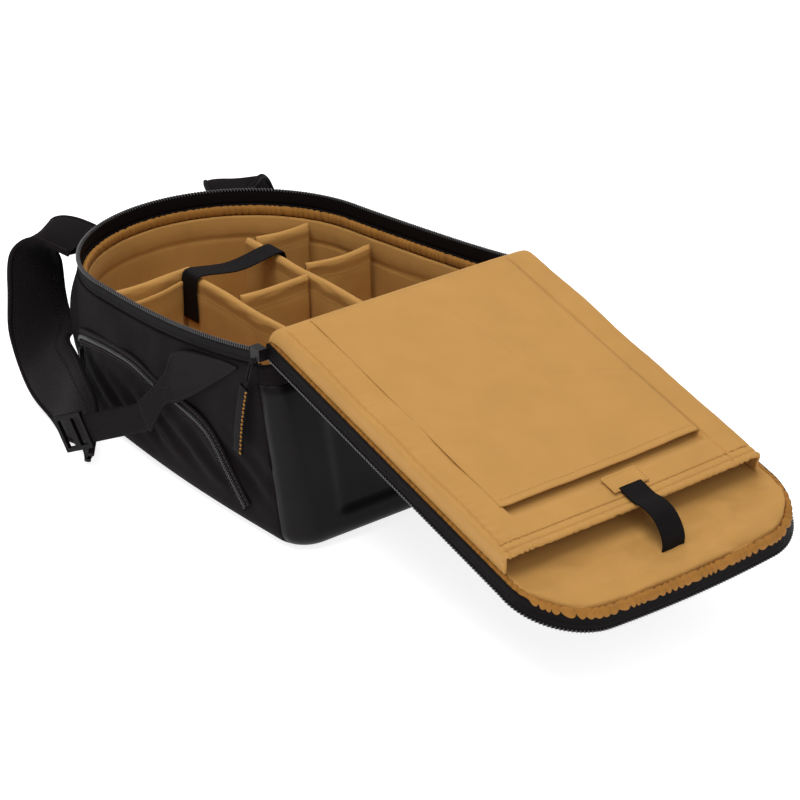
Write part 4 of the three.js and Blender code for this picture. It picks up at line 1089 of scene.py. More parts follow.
class BAG_OT_dividers(BagOperator, bpy.types.Operator):
    """Make the padded dividers that part the body"""
    bl_idname = "bag.dividers"
    bl_label = "Dividers"

    def make(self, sizes):
        joint = DIVIDER_THICKNESS / 2 + GAP
        half = DIVIDER_THICKNESS / 2
        inner = LINING_INNER + DIVIDER_CLEARANCE
        room = HALF_WIDTH - inner
        end = HINGE_X - inner
        arch = TOP_ARCH_LENGTH - inner

        def wall_y(x):
            return room * math.sqrt(1 - max(0, (ARCH_X - x + half) / arch) ** 2)

        near, far = NEAR_LONG_Y, FAR_LONG_Y
        rows = {
            "near_cross": (
                (NEAR_CROSS_X, -wall_y(NEAR_CROSS_X)), (NEAR_CROSS_X, near + half)),
            "near_long": ((NEAR_CROSS_X + joint, near), (end, near)),
            "mid_cross": ((MID_CROSS_X, near + joint), (MID_CROSS_X, far - joint)),
            "far_long": ((TOP_CROSS_X - half, far), (end, far)),
            "top_cross": ((TOP_CROSS_X, far + joint), (TOP_CROSS_X, wall_y(TOP_CROSS_X))),
            "far_cross": ((FAR_CROSS_X, far + joint), (FAR_CROSS_X, wall_y(FAR_CROSS_X))),
        }
        for seed, (name, (start, stop)) in enumerate(rows.items()):
            self.slab(sizes, name, np.array(start), np.array(stop), seed)
        self.flap()

    def flap(self):
        """The sewn flap that doubles the first divider's face."""
        y = np.linspace(-HALF_WIDTH + 18 * MM, NEAR_LONG_Y - 9 * MM, 40)
        t = np.linspace(0, 1, 24)
        yy, tt = np.meshgrid(y, t, indexing="ij")
        share = (yy - y[0]) / (y[-1] - y[0])
        top = DIVIDER_HEIGHT - 8 * MM - 4 * MM * np.sin(np.pi * share) - 5 * MM * (1 - share)
        z = lerp(30 * MM, top, tt)
        out = 2.0 * MM + 1.8 * MM * tt ** 2 + 0.6 * MM * ripples(yy, z, 32 * MM, 71)
        x = NEAR_CROSS_X + DIVIDER_THICKNESS / 2 + out
        flap = grid("divider_flap", np.stack([x, yy, z], -1), "tan_cloth")
        face_away(flap, (NEAR_CROSS_X, (y[0] + y[-1]) / 2, 80 * MM))
        thicken(flap, FLAP_THICKNESS, offset=0)

    def slab(self, sizes, name, start, stop, seed):
        length = np.linalg.norm(stop - start)
        way = (stop - start) / length
        across = np.array([-way[1], way[0]])
        first, last = DIVIDER_END_ROUND, length - DIVIDER_END_ROUND
        s = np.concatenate([
            np.linspace(0, first, 6)[:-1], np.linspace(first, last, round(length / (3 * MM))),
            np.linspace(last, length, 6)[1:]])
        half = DIVIDER_THICKNESS / 2
        low = LINING_INNER + GAP
        sag = DIVIDER_SAG * np.sin(np.pi * s / length)
        sag = sag + 0.7 * MM * np.sin(s / (17 * MM) + seed)
        top = DIVIDER_HEIGHT - sag
        t = np.linspace(0, 1, 34)
        turn = np.linspace(0, math.pi, 13)
        up_side = [(-1.0, share) for share in t]
        over = [(-math.cos(a), 1 + math.sin(a)) for a in turn[1:-1]]
        profile = up_side + over + [(side * -1, share) for side, share in reversed(up_side)]
        from_end = (1 - np.minimum(s, length - s) / DIVIDER_END_ROUND).clip(0)
        ends = np.sqrt(np.clip(1 - from_end ** 2, 0.02, 1))
        points = np.zeros((len(s), len(profile), 3))
        for k, (side, share) in enumerate(profile):
            height = lerp(low, top - half, min(share, 1)) + half * max(0, share - 1)
            puff = np.sin(np.pi * min(share, 1)) ** 0.6 * sizes.pad_puff * 0.35
            face_seed = seed + (40 if side > 0 else 0)
            crumple = ripples(s, 0 * s + share * 0.11, 34 * MM, face_seed)
            welt = -1.0 * MM * math.exp(-((share - 0.93) / 0.03) ** 2)
            out = side * (half - 1.1 * MM + puff + 0.5 * MM * crumple + welt) * ends
            points[:, k, :2] = start + way * s[:, None] + across * out[:, None]
            points[:, k, 2] = height
        slab = grid(f"divider_{name}_pad", points, "tan_cloth")
        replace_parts(slab, f"divider_{name}")
        out = -np.append(across, 0)
        seam = points[3:-3, 30] + out * 0.5 * MM
        stitches(f"divider_{name}_stitches", seam, out, "tan_thread", THIN_THREAD)


class BAG_OT_gear_strap(BagOperator, bpy.types.Operator):
    """Make the strap across the largest bay"""
    bl_idname = "bag.gear_strap"
    bl_label = "Strap across the bay"

    def make(self, sizes):
        x = NEAR_CROSS_X + DIVIDER_THICKNESS / 2 + GEAR_STRAP_WIDTH / 2 + 1 * MM
        clear = WEBBING_THICKNESS / 2 + GAP
        top = DIVIDER_HEIGHT + clear
        near = NEAR_LONG_Y - DIVIDER_THICKNESS / 2 - clear
        far = FAR_LONG_Y + DIVIDER_THICKNESS / 2 + clear
        corners = np.array([
            [far, top - 16 * MM], [far, top - 4 * MM], [far - 2 * MM, top],
            [FAR_LONG_Y, top + 1 * MM], [lerp(FAR_LONG_Y, NEAR_LONG_Y, 0.5), top - 5 * MM],
            [NEAR_LONG_Y, top + 1 * MM], [near + 2 * MM, top], [near - 0.5 * MM, top - 5 * MM],
            [near - 0.5 * MM, top - GEAR_STRAP_DROP]])
        path = curve(np.column_stack([np.full(len(corners), x), corners]), 90)
        side = np.broadcast_to([1.0, 0, 0], path.shape)
        strap = band("gear_webbing", path, side, GEAR_STRAP_WIDTH,
                     WEBBING_THICKNESS, "black_webbing")
        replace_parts(strap, "gear_strap")


def curve(points, count):
    """Smooth curve through points, their spacing kept in its speed."""
    points = np.asarray(points, float)
    before, after = 2 * points[0] - points[1], 2 * points[-1] - points[-2]
    points = np.concatenate([[before], points, [after]])
    found = []
    for place in np.linspace(0, len(points) - 3, count):
        k = min(int(place), len(points) - 4)
        w = place - k
        p0, p1, p2, p3 = points[k:k + 4]
        d0, d1, d2 = (max(1e-6, np.linalg.norm(b[:3] - a[:3])) ** 0.5
                      for a, b in ((p0, p1), (p1, p2), (p2, p3)))
        m1 = ((p1 - p0) / d0 - (p2 - p0) / (d0 + d1) + (p2 - p1) / d1) * d1
        m2 = ((p2 - p1) / d1 - (p3 - p1) / (d1 + d2) + (p3 - p2) / d2) * d1
        found.append(
            (2 * w ** 3 - 3 * w ** 2 + 1) * p1 + (w ** 3 - 2 * w ** 2 + w) * m1
            + (3 * w ** 2 - 2 * w ** 3) * p2 + (w ** 3 - w ** 2) * m2)
    return np.array(found)


# Side door zip: places as shares of the body's length and of the rim's height
SIDE_ZIP_PATH = [
    (-0.307, 0.45), (-0.285, 0.51), (-0.225, 0.58), (-0.167, 0.617), (-0.085, 0.641),
    (0, 0.65), (0.1, 0.604), (0.195, 0.58), (0.288, 0.51), (0.357, 0.322), (0.415, 0.15),
]


class BAG_OT_side_door(BagOperator, bpy.types.Operator):
    """Make the side door's zip, its piping and its pull"""
    bl_idname = "bag.side_door"
    bl_label = "Side door zip"

    def make(self, sizes):
        tape_out = 2 * GAP + 0.6 * MM
        path, way, across = self.route(0, tape_out)
        section = tape_section(len(path), SIDE_ZIP_WIDTH, SIDE_TAPE_THICKNESS)
        tape = strip("side_tape", path, across, way, section, "zip_tape")
        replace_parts(tape, "side_door_tape")
        raised = path + way * SIDE_TAPE_THICKNESS
        core = oval(len(path), SIDE_SEAT_WIDTH, SIDE_SEAT_HEIGHT, 8)
        seat = strip("side_coil_seat", raised, across, way, core, "zip_tape")
        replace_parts(seat, "side_door_coil")
        coil("side_coil", raised - way * 0.2 * MM, across, way, sizes.side_tooth_pitch,
             SIDE_COIL_RADIUS, "zip_coil")
        for name, shift in (("upper", SIDE_PIPING_SHARE), ("lower", -SIDE_PIPING_SHARE)):
            edge, way, across = self.route(shift * SIDE_ZIP_WIDTH, 1.3 * MM)
            section = oval(len(edge), SIDE_PIPING_WIDTH, SIDE_PIPING_HEIGHT, 10)
            strip(f"side_piping_{name}", edge, across, way, section, "black_smooth")
            line, way, across = self.route(SIDE_STITCH_SHARE * shift * SIDE_ZIP_WIDTH, 2.1 * MM)
            stitches(f"side_stitches_{name}", line, way, "grey_thread", 0.5 * MM)
        self.pull()

    def route(self, shift, out):
        shares = np.array(SIDE_ZIP_PATH)
        plan, way = wall_place(shares[:, 0] * BODY_LENGTH, -1, out)
        points = np.column_stack([plan, shares[:, 1] * RIM_HEIGHT_TOP_END])
        path = curve(points, 160)
        plan, way = wall_place(path[:, 0], -1, out)
        path[:, :2] = plan
        way = np.column_stack([way, 0 * path[:, 0]])
        across = unit(np.cross(np.gradient(path, axis=0), way))
        across *= np.sign(across[len(across) // 2, 2])
        return path + across * shift, way, across

    def pull(self):
        place, way = wall_place(np.array(SIDE_ZIP_PATH[0][0] * BODY_LENGTH), -1, 2.3 * MM)
        heights = np.array([0.41, 0.36, 0.29, 0.26, 0.2, 0.17]) * RIM_HEIGHT_TOP_END
        widths = np.array([4, 5, 5, 10.6, 11.4, 6]) * MM
        path = np.column_stack([np.full(6, place[0]), np.full(6, place[1]), heights])
        fine = curve(np.column_stack([path, widths]), 50)
        side = np.broadcast_to([-way[1], way[0], 0], (50, 3))
        pull = band("side_pull", fine[:, :3], side, fine[:, 3],
                    SIDE_PULL_THICKNESS, "black_plastic")
        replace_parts(pull, "side_zip_pull")


# Compression wing: along, lower and upper edge as shares, and out in millimetres
WING_ROWS = [
    (0.405, 1.05, 1.06, 1.35), (0.34, 0.91, 1.045, 1.35),
    (0.19, 0.61, 0.945, 6.15), (0.165, 0.585, 0.80, 8.15),
]
# The webbing's start: along and high as shares, and out from the wall
WEBBING_START = (0.1, 0.44, 17 * MM)
# The webbing's end at its lock: along as a share, out from the wall, and high
WEBBING_END = (-0.055, 58.5 * MM, 36 * MM)


class BAG_OT_wings(BagOperator, bpy.types.Operator):
    """Make the compression wings, their webbing and their ladder locks"""
    bl_idname = "bag.wings"
    bl_label = "Compression wings"

    def make(self, sizes):
        for name, side in (("near", -1), ("far", 1)):
            self.wing(name, side)

    def wing(self, name, side):
        along, high, out = WEBBING_START
        plan, _ = wall_place(np.array(along * BODY_LENGTH), side, out)
        start = np.append(plan, high * RIM_HEIGHT_TOP_END)
        along, out, high = WEBBING_END
        end = np.array([along * BODY_LENGTH, side * (HALF_WIDTH + out), high])
        way = unit(end - start)
        across = unit(np.array([0, 0, 1.0]) - way * way[2])
        lows, highs = [], []
        for along, low, high, out in WING_ROWS:
            plan, _ = wall_place(np.array(along * BODY_LENGTH), side, out * MM)
            lows.append(np.append(plan, low * RIM_HEIGHT_TOP_END))
            highs.append(np.append(plan, high * RIM_HEIGHT_TOP_END))
        half = (WEBBING_WIDTH + 3 * MM) / 2
        lows.append(start - across * half)
        highs.append(start + across * half)
        low, high = curve(lows, 70), curve(highs, 70)
        t = np.linspace(0, 1, 34)
        points = low[:, None] + (high - low)[:, None] * t[None, :, None]
        out = np.array([0, side, 0.0])
        s = np.linspace(0, 1, 70)[:, None]
        drag = np.sin(2 * np.pi * (t[None] * 2.2 + 0.35 * s))
        drag = drag * step(0.25, 0.7, s) * (1 - s) * 2.6
        roll = np.sin(np.pi * t[None]) * 1.4 * step(0.75, 1.0, s)
        points = points + out * (MM * (np.maximum(0.4 * drag, 0) + roll))[..., None]
        tab = grid(f"wing_cloth_{name}", points, "black_smooth")
        thicken(tab, WING_THICKNESS, offset=0)
        area = self.area(points)
        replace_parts(tab, f"wing_tab_{name}")
        lifted = points + out * WING_STITCH_LIFT
        for row, place in (("upper", 31), ("lower", 2)):
            stitches(f"wing_stitches_{row}_{name}", lifted[6:-2, place], out, "dark_thread")
        run = np.linspace(38, 62, 25).astype(int)
        over = np.linspace(5, 28, 25).astype(int)
        for row, places in (("rise", over), ("fall", over[::-1])):
            stitches(f"wing_cross_{row}_{name}", lifted[run, places], out, "dark_thread")
        self.hardware(name, start, end, way, across)

    def area(self, points):
        a = points[1:, :-1] - points[:-1, :-1]
        b = points[:-1, 1:] - points[:-1, :-1]
        return float(np.linalg.norm(np.cross(a, b), axis=2).sum())

    def hardware(self, name, start, end, way, across):
        first = start + way * GAP
        last = end - way * (LOCK_LENGTH / 2 + GAP)
        path = first + (last - first) * np.linspace(0, 1, 30)[:, None]
        side = np.broadcast_to(across, path.shape)
        webbing = band(f"compression_webbing_{name}", path, side, WEBBING_WIDTH,
                       WEBBING_THICKNESS, "black_webbing")
        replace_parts(webbing, f"webbing_{name}")
        soften(f"ladder_lock_{name}", 1.3 * MM, 3)


# Shoulder straps: place as shares of the body's sizes, the way across, width as a share
STRAP_STATIONS = [
    (-0.80, 0.50, 0.86, 0.50, 0.85, 0, 0.97), (-1.06, 0.66, 0.95, 0.40, 0.88, -0.05, 1),
    (-1.13, 0.80, 0.91, 0.30, 0.92, -0.15, 1), (-1.095, 0.88, 0.70, 0.22, 0.95, -0.22, 1),
    (-1.035, 0.91, 0.49, 0.22, 0.92, -0.30, 1), (-0.92, 0.935, 0.335, 0.28, 0.80, -0.50, 1),
    (-0.76, 1.04, 0.255, 0.28, 0.62, -0.72, 1), (-0.52, 1.11, 0.23, 0.20, 0.50, -0.84, 1),
    (-0.31, 1.205, 0.21, 0.15, 0.45, -0.88, 0.92),
    (-0.17, 1.235, 0.15, 0.12, 0.40, -0.90, 0.56),
    (-0.07, 1.33, 0.062, 0.10, 0.40, -0.90, 0.20),
]


class BAG_OT_shoulder_straps(BagOperator, bpy.types.Operator):
    """Make the padded shoulder straps with bound edges and a stitched mesh face"""
    bl_idname = "bag.shoulder_straps"
    bl_label = "Shoulder straps"

    def make(self, sizes):
        for name, mirror in (("near", -1), ("far", 1)):
            self.strap(name, mirror)

    def strap(self, name, mirror):
        table = np.array(STRAP_STATIONS, float)
        table[:, 0] *= HINGE_X
        table[:, 1] *= mirror * HALF_WIDTH
        table[:, 2] *= RIM_HEIGHT_TOP_END
        table[:, 4] *= mirror
        rows = curve(table, 190)
        rows = rows[int(np.argmax(outside_body(rows, 0))):]
        high = step(0.04, 0.09, rows[:, 2])[:, None]
        rows[:, :3] += high * (NEAR_STRAP_SHIFT if mirror < 0 else FAR_STRAP_SHIFT)
        path, side, width = rows[:, :3], rows[:, 3:6], rows[:, 6] * SHOULDER_WIDTH
        if mirror > 0:
            width = width * (0.5 + 0.5 * step(0, 80 * MM, lengths(path)))
        side, up = square_to(path, side)
        across = np.linspace(-1, 1, 25)
        crown = (1 - np.abs(across) ** 2.6) ** 0.5
        s = lengths(path)
        soft = ripples(s[:, None], across[None] * 0.03, 45 * MM, 21 + mirror)
        faces = []
        for sign in (1, -1):
            lift = sign * (SHOULDER_THICKNESS / 2 - 0.6 * MM) * crown[None] * (1 + 0.12 * soft)
            lift = lift * np.clip(width / (30 * MM), 0.35, 1)[:, None]
            reach = across[None] * (width / 2 - STRAP_FACE_INSET)[:, None]
            faces.append(path[:, None] + side[:, None] * reach[..., None]
                         + up[:, None] * lift[..., None])
        push = push_from_body(np.concatenate(faces, 1), STRAP_CLEARANCE)
        path = path + push
        faces = [eased(face + push[:, None], EASED_ROWS) for face in faces]
        facing = np.sign(up[40] @ np.array([1.0, mirror * -0.2, 0.1]))
        inner, outer = faces if facing > 0 else reversed(faces)
        knit = grid(f"strap_mesh_{name}", inner, "black_mesh")
        back = grid(f"strap_cloth_{name}", outer, "black_cloth")
        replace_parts(knit, f"shoulder_strap_{name}")
        for edge, sign in (("a", -1), ("b", 1)):
            line = path + side * (sign * (width / 2 - STRAP_EDGE_INSET))[:, None]
            section = oval(len(line), STRAP_EDGE_WIDTH, STRAP_EDGE_HEIGHT, 12, 2.6)
            strip(f"strap_binding_{edge}_{name}", eased(line, EASED_ROWS), side, up,
                  section, "black_smooth")
        normal = unit(np.cross(np.gradient(inner, axis=0), np.gradient(inner, axis=1)))
        normal *= np.sign((normal[75, 12] * up[75]).sum()) * facing
        free = outside_body(inner[:, 5], 4 * MM)
        free[-12:] = False
        stitches(f"strap_zigzag_{name}", (inner + normal * 0.5 * MM)[free, 5], normal[free, 5],
                 "dark_thread", 0.8 * MM, slant=0.9)


class BAG_OT_hinge(BagOperator, bpy.types.Operator):
    """Make the cloth hinge from the body's bottom end to the open panel"""
    bl_idname = "bag.hinge"
    bl_label = "Hinge cloth"

    def make(self, sizes):
        under = PANEL_BOTTOM - 1.2 * MM
        low = BASE_HEIGHT + 1.55 * MM

        def wall_x(z):
            return HINGE_X + BASE_FLARE * (1 - z / wall_top(HINGE_X)) ** BASE_CURVE + 1.55 * MM

        rows = np.array([
            [wall_x(low), 0, low], [wall_x(low + 5.5 * MM), 0, low + 5.5 * MM],
            on_panel(22 * MM, 0, under - 0.6 * MM), on_panel(36 * MM, 0, under)])
        path = curve(rows, 40)
        y = np.linspace(-1, 1, 60) * HALF_PANEL * HINGE_CLOTH_SHARE
        points = np.repeat(path[:, None], 60, 1)
        points[..., 1] = y
        sheet = grid("hinge_cloth", points, "black_cloth")
        thicken(sheet, HINGE_CLOTH_THICKNESS, offset=0)
        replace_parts(sheet, "hinge_strip")


class BAG_OT_main_slider(BagOperator, bpy.types.Operator):
    """Make the main slider, its cord and its stitched pull"""
    bl_idname = "bag.main_slider"
    bl_label = "Main slider"

    def make(self, sizes):
        soften("main_zip_slider", 2.2 * MM, 4)
        low, high = (np.array(corner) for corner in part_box("main_pull_cord"))
        y = (low[1] + high[1]) / 2
        top = np.array([high[0] - 1 * MM, y, high[2] - 1 * MM])
        foot = np.array([low[0] + 2 * MM, y, low[2] + 1 * MM])
        t = np.linspace(0, 1, 40)[:, None]
        middle = lerp(top, foot, t)
        spread = np.sin(np.pi * t[:, 0]) ** 0.6 * CORD_SPREAD
        for name, sign in (("a", 1), ("b", -1)):
            path = middle + np.array([1.0, 0, 0.3]) * (sign * spread)[:, None]
            cord = tube(f"pull_loop_{name}", path, CORD_RADIUS, "black_smooth")
            if name == "a":
                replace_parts(cord, "main_pull_cord")
        self.tab()

    def tab(self):
        start_x = RIM_START_X + GAP
        shares = np.array([(0.38, 0.98), (0.57, 0.88), (0.81, 0.72), (1, 0.53)])
        x = start_x - shares[:, 0] * PULL_REACH
        plan, _ = wall_place(x, -1, PULL_OUT)
        path = curve(np.column_stack([plan, shares[:, 1] * RIM_HEIGHT_TOP_END]), 60)
        side = np.broadcast_to([1.0, 0, 0.1], path.shape)
        ribs = 2.6 * MM + 0.5 * MM * np.sin(lengths(path) * 2 * np.pi / PULL_RIB_PITCH)
        across, up = square_to(path, side)
        section = oval(len(path), PULL_WIDTH, 1.0, 20, 5.0)
        section[..., 1] *= ribs[:, None]
        tab = strip("main_pull_ribs", path, across, up, section, "black_webbing")
        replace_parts(tab, "main_pull_tab")
        face = up * np.sign(-up[:, 1:2])
        edge = path + across * 4.6 * MM + face * 1.45 * MM
        stitches("main_pull_gold", edge, face, "gold_thread", 1.15 * MM, slant=0.8)


class BAG_OT_back_panel(BagOperator, bpy.types.Operator):
    """Make the open panel's padded back and its tan lining"""
    bl_idname = "bag.back_panel"
    bl_label = "Open panel"

    def make(self, sizes):
        self.back()
        self.lining()

    def back(self):
        inset = BINDING_WIDTH * 0.4
        edge = PANEL_EDGE_RADIUS
        rings = [(0, 0.0, PANEL_TOP), (0, 1.0, PANEL_TOP)]
        for turn in np.linspace(0, math.pi / 2, 7):
            rings.append((
                edge * (1 - math.cos(turn)), 1.0, PANEL_BOTTOM + edge * (1 - math.sin(turn))))
        for share in np.linspace(1, 0, 26)[1:]:
            rings.append((edge, share, PANEL_BOTTOM))
        points = np.array([
            self.ring(inset + extra, share, n, -6 * MM) for extra, share, n in rings])
        d, y, n = np.moveaxis(points, -1, 0)
        channels = hump(CHANNEL_Y, CHANNEL_HALF, np.abs(y)) * step(50 * MM, 70 * MM, d)
        channels = channels * step(PANEL_LENGTH - 40 * MM, PANEL_LENGTH - 70 * MM, d)
        points[..., 2] += (n < PANEL_BOTTOM + 0.5 * MM) * (CHANNEL_DEPTH * channels)
        pad = grid("back_pad", on_panel(*np.moveaxis(points, -1, 0)), "black_cloth")
        face_away(pad, on_panel(0.4 * PANEL_LENGTH, 0, (PANEL_TOP + PANEL_BOTTOM) / 2))
        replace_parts(pad, "back_panel")

    def ring(self, inset, share, n, first):
        rows = panel_rows(inset, counts=(40, 20, 24))
        rows[0, 0] = first
        d = lerp(0.42 * PANEL_LENGTH, rows[:, 0], share)
        body = np.column_stack([d, rows[:, 1] * share, np.full(len(d), n)])
        return np.concatenate([body, body[:1]])

    def lining(self):
        inset = BINDING_WIDTH - 2.4 * MM
        edge = PANEL_LINING_EDGE
        low = SLEEVE_FLOOR - PANEL_LINING_THICKNESS
        points = [self.ring(inset, 0, low, GAP), self.ring(inset, 1, low, GAP)]
        for turn in np.linspace(0, math.pi / 2, 6):
            points.append(self.ring(inset + edge * (1 - math.cos(turn)), 1,
                                    SLEEVE_FLOOR - edge * (1 - math.sin(turn)), GAP))
        for share in np.linspace(1, 0, 56)[1:]:
            points.append(self.ring(inset + edge, share, SLEEVE_FLOOR, GAP))
        points = np.array(points)
        d, y, n = np.moveaxis(points, -1, 0)
        free = step(SLEEVE_LENGTH + 2 * MM, SLEEVE_LENGTH + 16 * MM, d)
        free = free * (n > SLEEVE_FLOOR - MM)
        folds = ripples(d * 1.3, y, 40 * MM, 31) * 2.6 + ripples(d, y, 17 * MM, 35) * 0.9
        crown = hump(PANEL_LENGTH - 26 * MM, 22 * MM, d + 0.9 * y ** 2) * 4.0
        points[..., 2] += MM * free * (folds + crown)
        lining = grid("panel_padding", on_panel(*np.moveaxis(points, -1, 0)), "tan_cloth")
        face_away(lining, on_panel(0.4 * PANEL_LENGTH, 0, (low + SLEEVE_FLOOR) / 2))
        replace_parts(lining, "panel_lining")


class BAG_OT_panel_rim(BagOperator, bpy.types.Operator):
    """Make the open panel's gathered binding, zip tape and coil"""
    bl_idname = "bag.panel_rim"
    bl_label = "Panel rim"

    def make(self, sizes):
        rows = panel_rows(0, 3 * MM)
        flare = 0.55 * PANEL_RIM_FLARE * rows[:, 2]
        top = panel_path(rows, 0.1 * flare, TAPE_TOP + 0.6 * MM)
        foot = panel_path(rows, flare + TAPE_THICKNESS / 2, TAPE_FOOT - 1.4 * MM)
        up = unit(top - foot)
        along = unit(np.gradient(top, axis=0))
        way = unit(np.cross(up, along))
        way *= np.sign((way * panel_ways(rows)).sum())
        height = np.linalg.norm(top - foot, axis=1)
        section = tape_section(len(rows), TAPE_THICKNESS, 1.0)
        section[..., 1] *= height[:, None]
        tape = strip("panel_tape", (top + foot) / 2, way, up, section, "zip_tape")
        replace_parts(tape, "panel_zip_tape")
        centre = panel_path(rows, flare + TAPE_THICKNESS / 2, TAPE_FOOT - GAP - RIM_COIL_RADIUS)
        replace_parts(coil_seat("panel_coil_seat", centre, way, up), "panel_zip_coil")
        coil("panel_coil", centre, way, -up, sizes.tooth_pitch, RIM_COIL_RADIUS, "zip_coil")
        self.binding(sizes)

    def binding(self, sizes):
        rows = panel_rows(0, 0.9 * MM)
        ends = rows[:, 2]
        low = SLEEVE_FLOOR - PANEL_BINDING_HEIGHT / 2
        path = panel_path(rows, (2.6 * ends - 3.4) * MM, low)
        way = panel_ways(rows)
        up = np.broadcast_to(PANEL_UP, path.shape)
        section = gathered(path, sizes, BINDING_WIDTH, PANEL_BINDING_HEIGHT, 3, 0.2 * MM)
        section = section * (1 + 0.35 * ends[:, None, None])
        binding = strip("panel_edge_binding", path, way, up, section, "tan_binding")
        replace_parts(binding, "panel_binding")


class BAG_OT_sleeve(BagOperator, bpy.types.Operator):
    """Make the padded sleeve, its flat pocket and its closing strap"""
    bl_idname = "bag.sleeve"
    bl_label = "Sleeve and pocket"

    def make(self, sizes):
        self.sleeve(sizes)
        self.pocket()
        self.strap()

    def profile(self):
        """The sleeve's section [across, up] from its near foot over to its far foot."""
        near, far, roll = SLEEVE_NEAR_Y, SLEEVE_FAR_Y, 0.5 * SLEEVE_ROLL
        corners = np.array([
            [near + 0.9 * roll, -SLEEVE_HEIGHT, 0],
            [near + 0.5 * roll, -SLEEVE_HEIGHT * 0.6, 0],
            [near + 0.1 * roll, -0.8 * roll, 0], [near + 0.25 * roll, -0.2 * roll, 0],
            [near + 0.9 * roll, 0, 0], [near + 3 * roll, 0, 0], [0, 0, 0],
            [SLEEVE_SEAM_Y - roll, 0, 0], [SLEEVE_SEAM_Y + roll, -0.05 * roll, 0],
            [far - 0.8 * roll, -0.32 * roll, 0], [far - 0.1 * roll, -0.95 * roll, 0],
            [far + 0.05 * roll, -0.6 * SLEEVE_HEIGHT, 0],
            [far + 0.11 * roll, -SLEEVE_HEIGHT, 0]])
        fine = curve(corners, 500)
        total = lengths(fine)[-1]
        places = np.concatenate([
            np.linspace(0, 50 * MM, 90, endpoint=False),
            np.linspace(50 * MM, total - 66 * MM, 80, endpoint=False),
            np.linspace(total - 66 * MM, total, 80)])
        return resample(fine, places)[:, :2]

    def sleeve(self, sizes):
        section = self.profile()
        heel = SLEEVE_HEEL * (1 - np.cos(np.linspace(0.12, math.pi / 2, 12)))
        finer = 270 * MM
        d = np.concatenate([
            [GAP], heel[:-1] + GAP, np.linspace(SLEEVE_HEEL, finer, 110, endpoint=False),
            np.linspace(finer, SLEEVE_LENGTH, 60)])
        from_end = 1 - np.clip(d / SLEEVE_HEEL, 0, 1)
        drop = SLEEVE_HEIGHT * (1 - np.sqrt(1 - from_end ** 2.4)) * 0.98
        y = np.repeat(section[None, :, 0], len(d), 0)
        n = section[None, :, 1] - drop[:, None]
        n = np.maximum(n, -SLEEVE_HEIGHT)
        dd = np.repeat(d[:, None], len(section), 1)
        top = step(-0.75 * SLEEVE_HEIGHT, -0.3 * SLEEVE_HEIGHT, n) * step(0, 24 * MM, dd)
        n = n + top * self.relief(dd, y)
        body = grid("sleeve_cloth", on_panel(dd, y, n), "tan_cloth")
        face_away(body, on_panel(0.5 * SLEEVE_LENGTH, 0, -0.5 * SLEEVE_HEIGHT))
        thicken(body, SLEEVE_WALL * 0.8)
        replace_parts(body, "laptop_sleeve")
        self.seams(sizes, dd, y, n)

    def relief(self, d, y):
        """Heights that soften the sleeve's top: seams, puckers, creases and its dip."""
        inside = step(POCKET_NEAR_Y + 2 * MM, POCKET_NEAR_Y + 9 * MM, y)
        inside = inside * step(SLEEVE_SEAM_Y + 1 * MM, SLEEVE_SEAM_Y - 5 * MM, y)
        flat = 2.1 * MM * step(8 * MM, 16 * MM, d)
        mouth = (POCKET_DEPTH - 0.8 * MM) * step(150 * MM, POCKET_MOUTH - 8 * MM, d)
        dip = (flat + mouth) * step(POCKET_MOUTH + 17 * MM, POCKET_MOUTH + 1 * MM, d) * inside
        near_seam = hump(SLEEVE_NEAR_Y + 5.5 * MM, 2.0 * MM, y)
        piping = hump(SLEEVE_NEAR_Y + 3.0 * MM, 2.0 * MM, y)
        pucker = np.sin(d * 2 * np.pi / (10 * MM) + 2 * np.sin(d / (21 * MM)))
        pucker = pucker * step(SLEEVE_NEAR_Y + 4 * MM, SLEEVE_NEAR_Y + 7 * MM, y)
        pucker = pucker * step(SLEEVE_NEAR_Y + 24 * MM, SLEEVE_NEAR_Y + 8 * MM, y)
        far_seam = hump(SLEEVE_SEAM_Y, 2.0 * MM, y)
        soft = ripples(d, y, 95 * MM, 51) * 0.9 * (1 - 0.5 * inside)
        soft = soft + ripples(d, y, 24 * MM, 53) * 0.22 * (1 - inside)
        hem = hump(SLEEVE_LENGTH - 12 * MM, 1.4 * MM, d)
        hem = hem + hump(SLEEVE_LENGTH - HEM_OUTER, 1.4 * MM, d)
        drawn = np.sin(y * 2 * np.pi / (8 * MM) + 2 * np.sin(y / (17 * MM)))
        drawn = drawn * hump(SLEEVE_LENGTH - 10 * MM, 14 * MM, d)
        sag = step(SLEEVE_LENGTH - 70 * MM, SLEEVE_LENGTH, d) * np.cos(
            np.pi * np.clip((y + 6 * MM) / (280 * MM), -0.5, 0.5))
        return MM * (0.45 * pucker - 1.5 * near_seam + 0.7 * piping - 1.6 * far_seam + soft
                     - 0.9 * hem + 0.35 * drawn - 2.6 * sag) - dip

    def seams(self, sizes, d, y, n):
        points = on_panel(d, y, n)
        edge = points[-1, 30:-14]
        along = unit(np.gradient(edge, axis=0))
        hem = gathered(edge, sizes, 6.5 * MM, 4.6 * MM, 8)
        strip("sleeve_hem", edge - PANEL_ALONG * 1.5 * MM - PANEL_UP * 1.3 * MM,
              np.cross(along, PANEL_UP), np.broadcast_to(PANEL_UP, edge.shape), hem,
              "tan_cloth")
        for name, from_end in (("inner", HEM_INNER), ("outer", HEM_OUTER)):
            row = int(np.argmin(np.abs(d[:, 0] - (SLEEVE_LENGTH - from_end))))
            line = points[row, 45:-28] + PANEL_UP * STITCH_LIFT
            stitches(f"sleeve_hem_{name}", line, PANEL_UP, "tan_thread", FINE_THREAD)

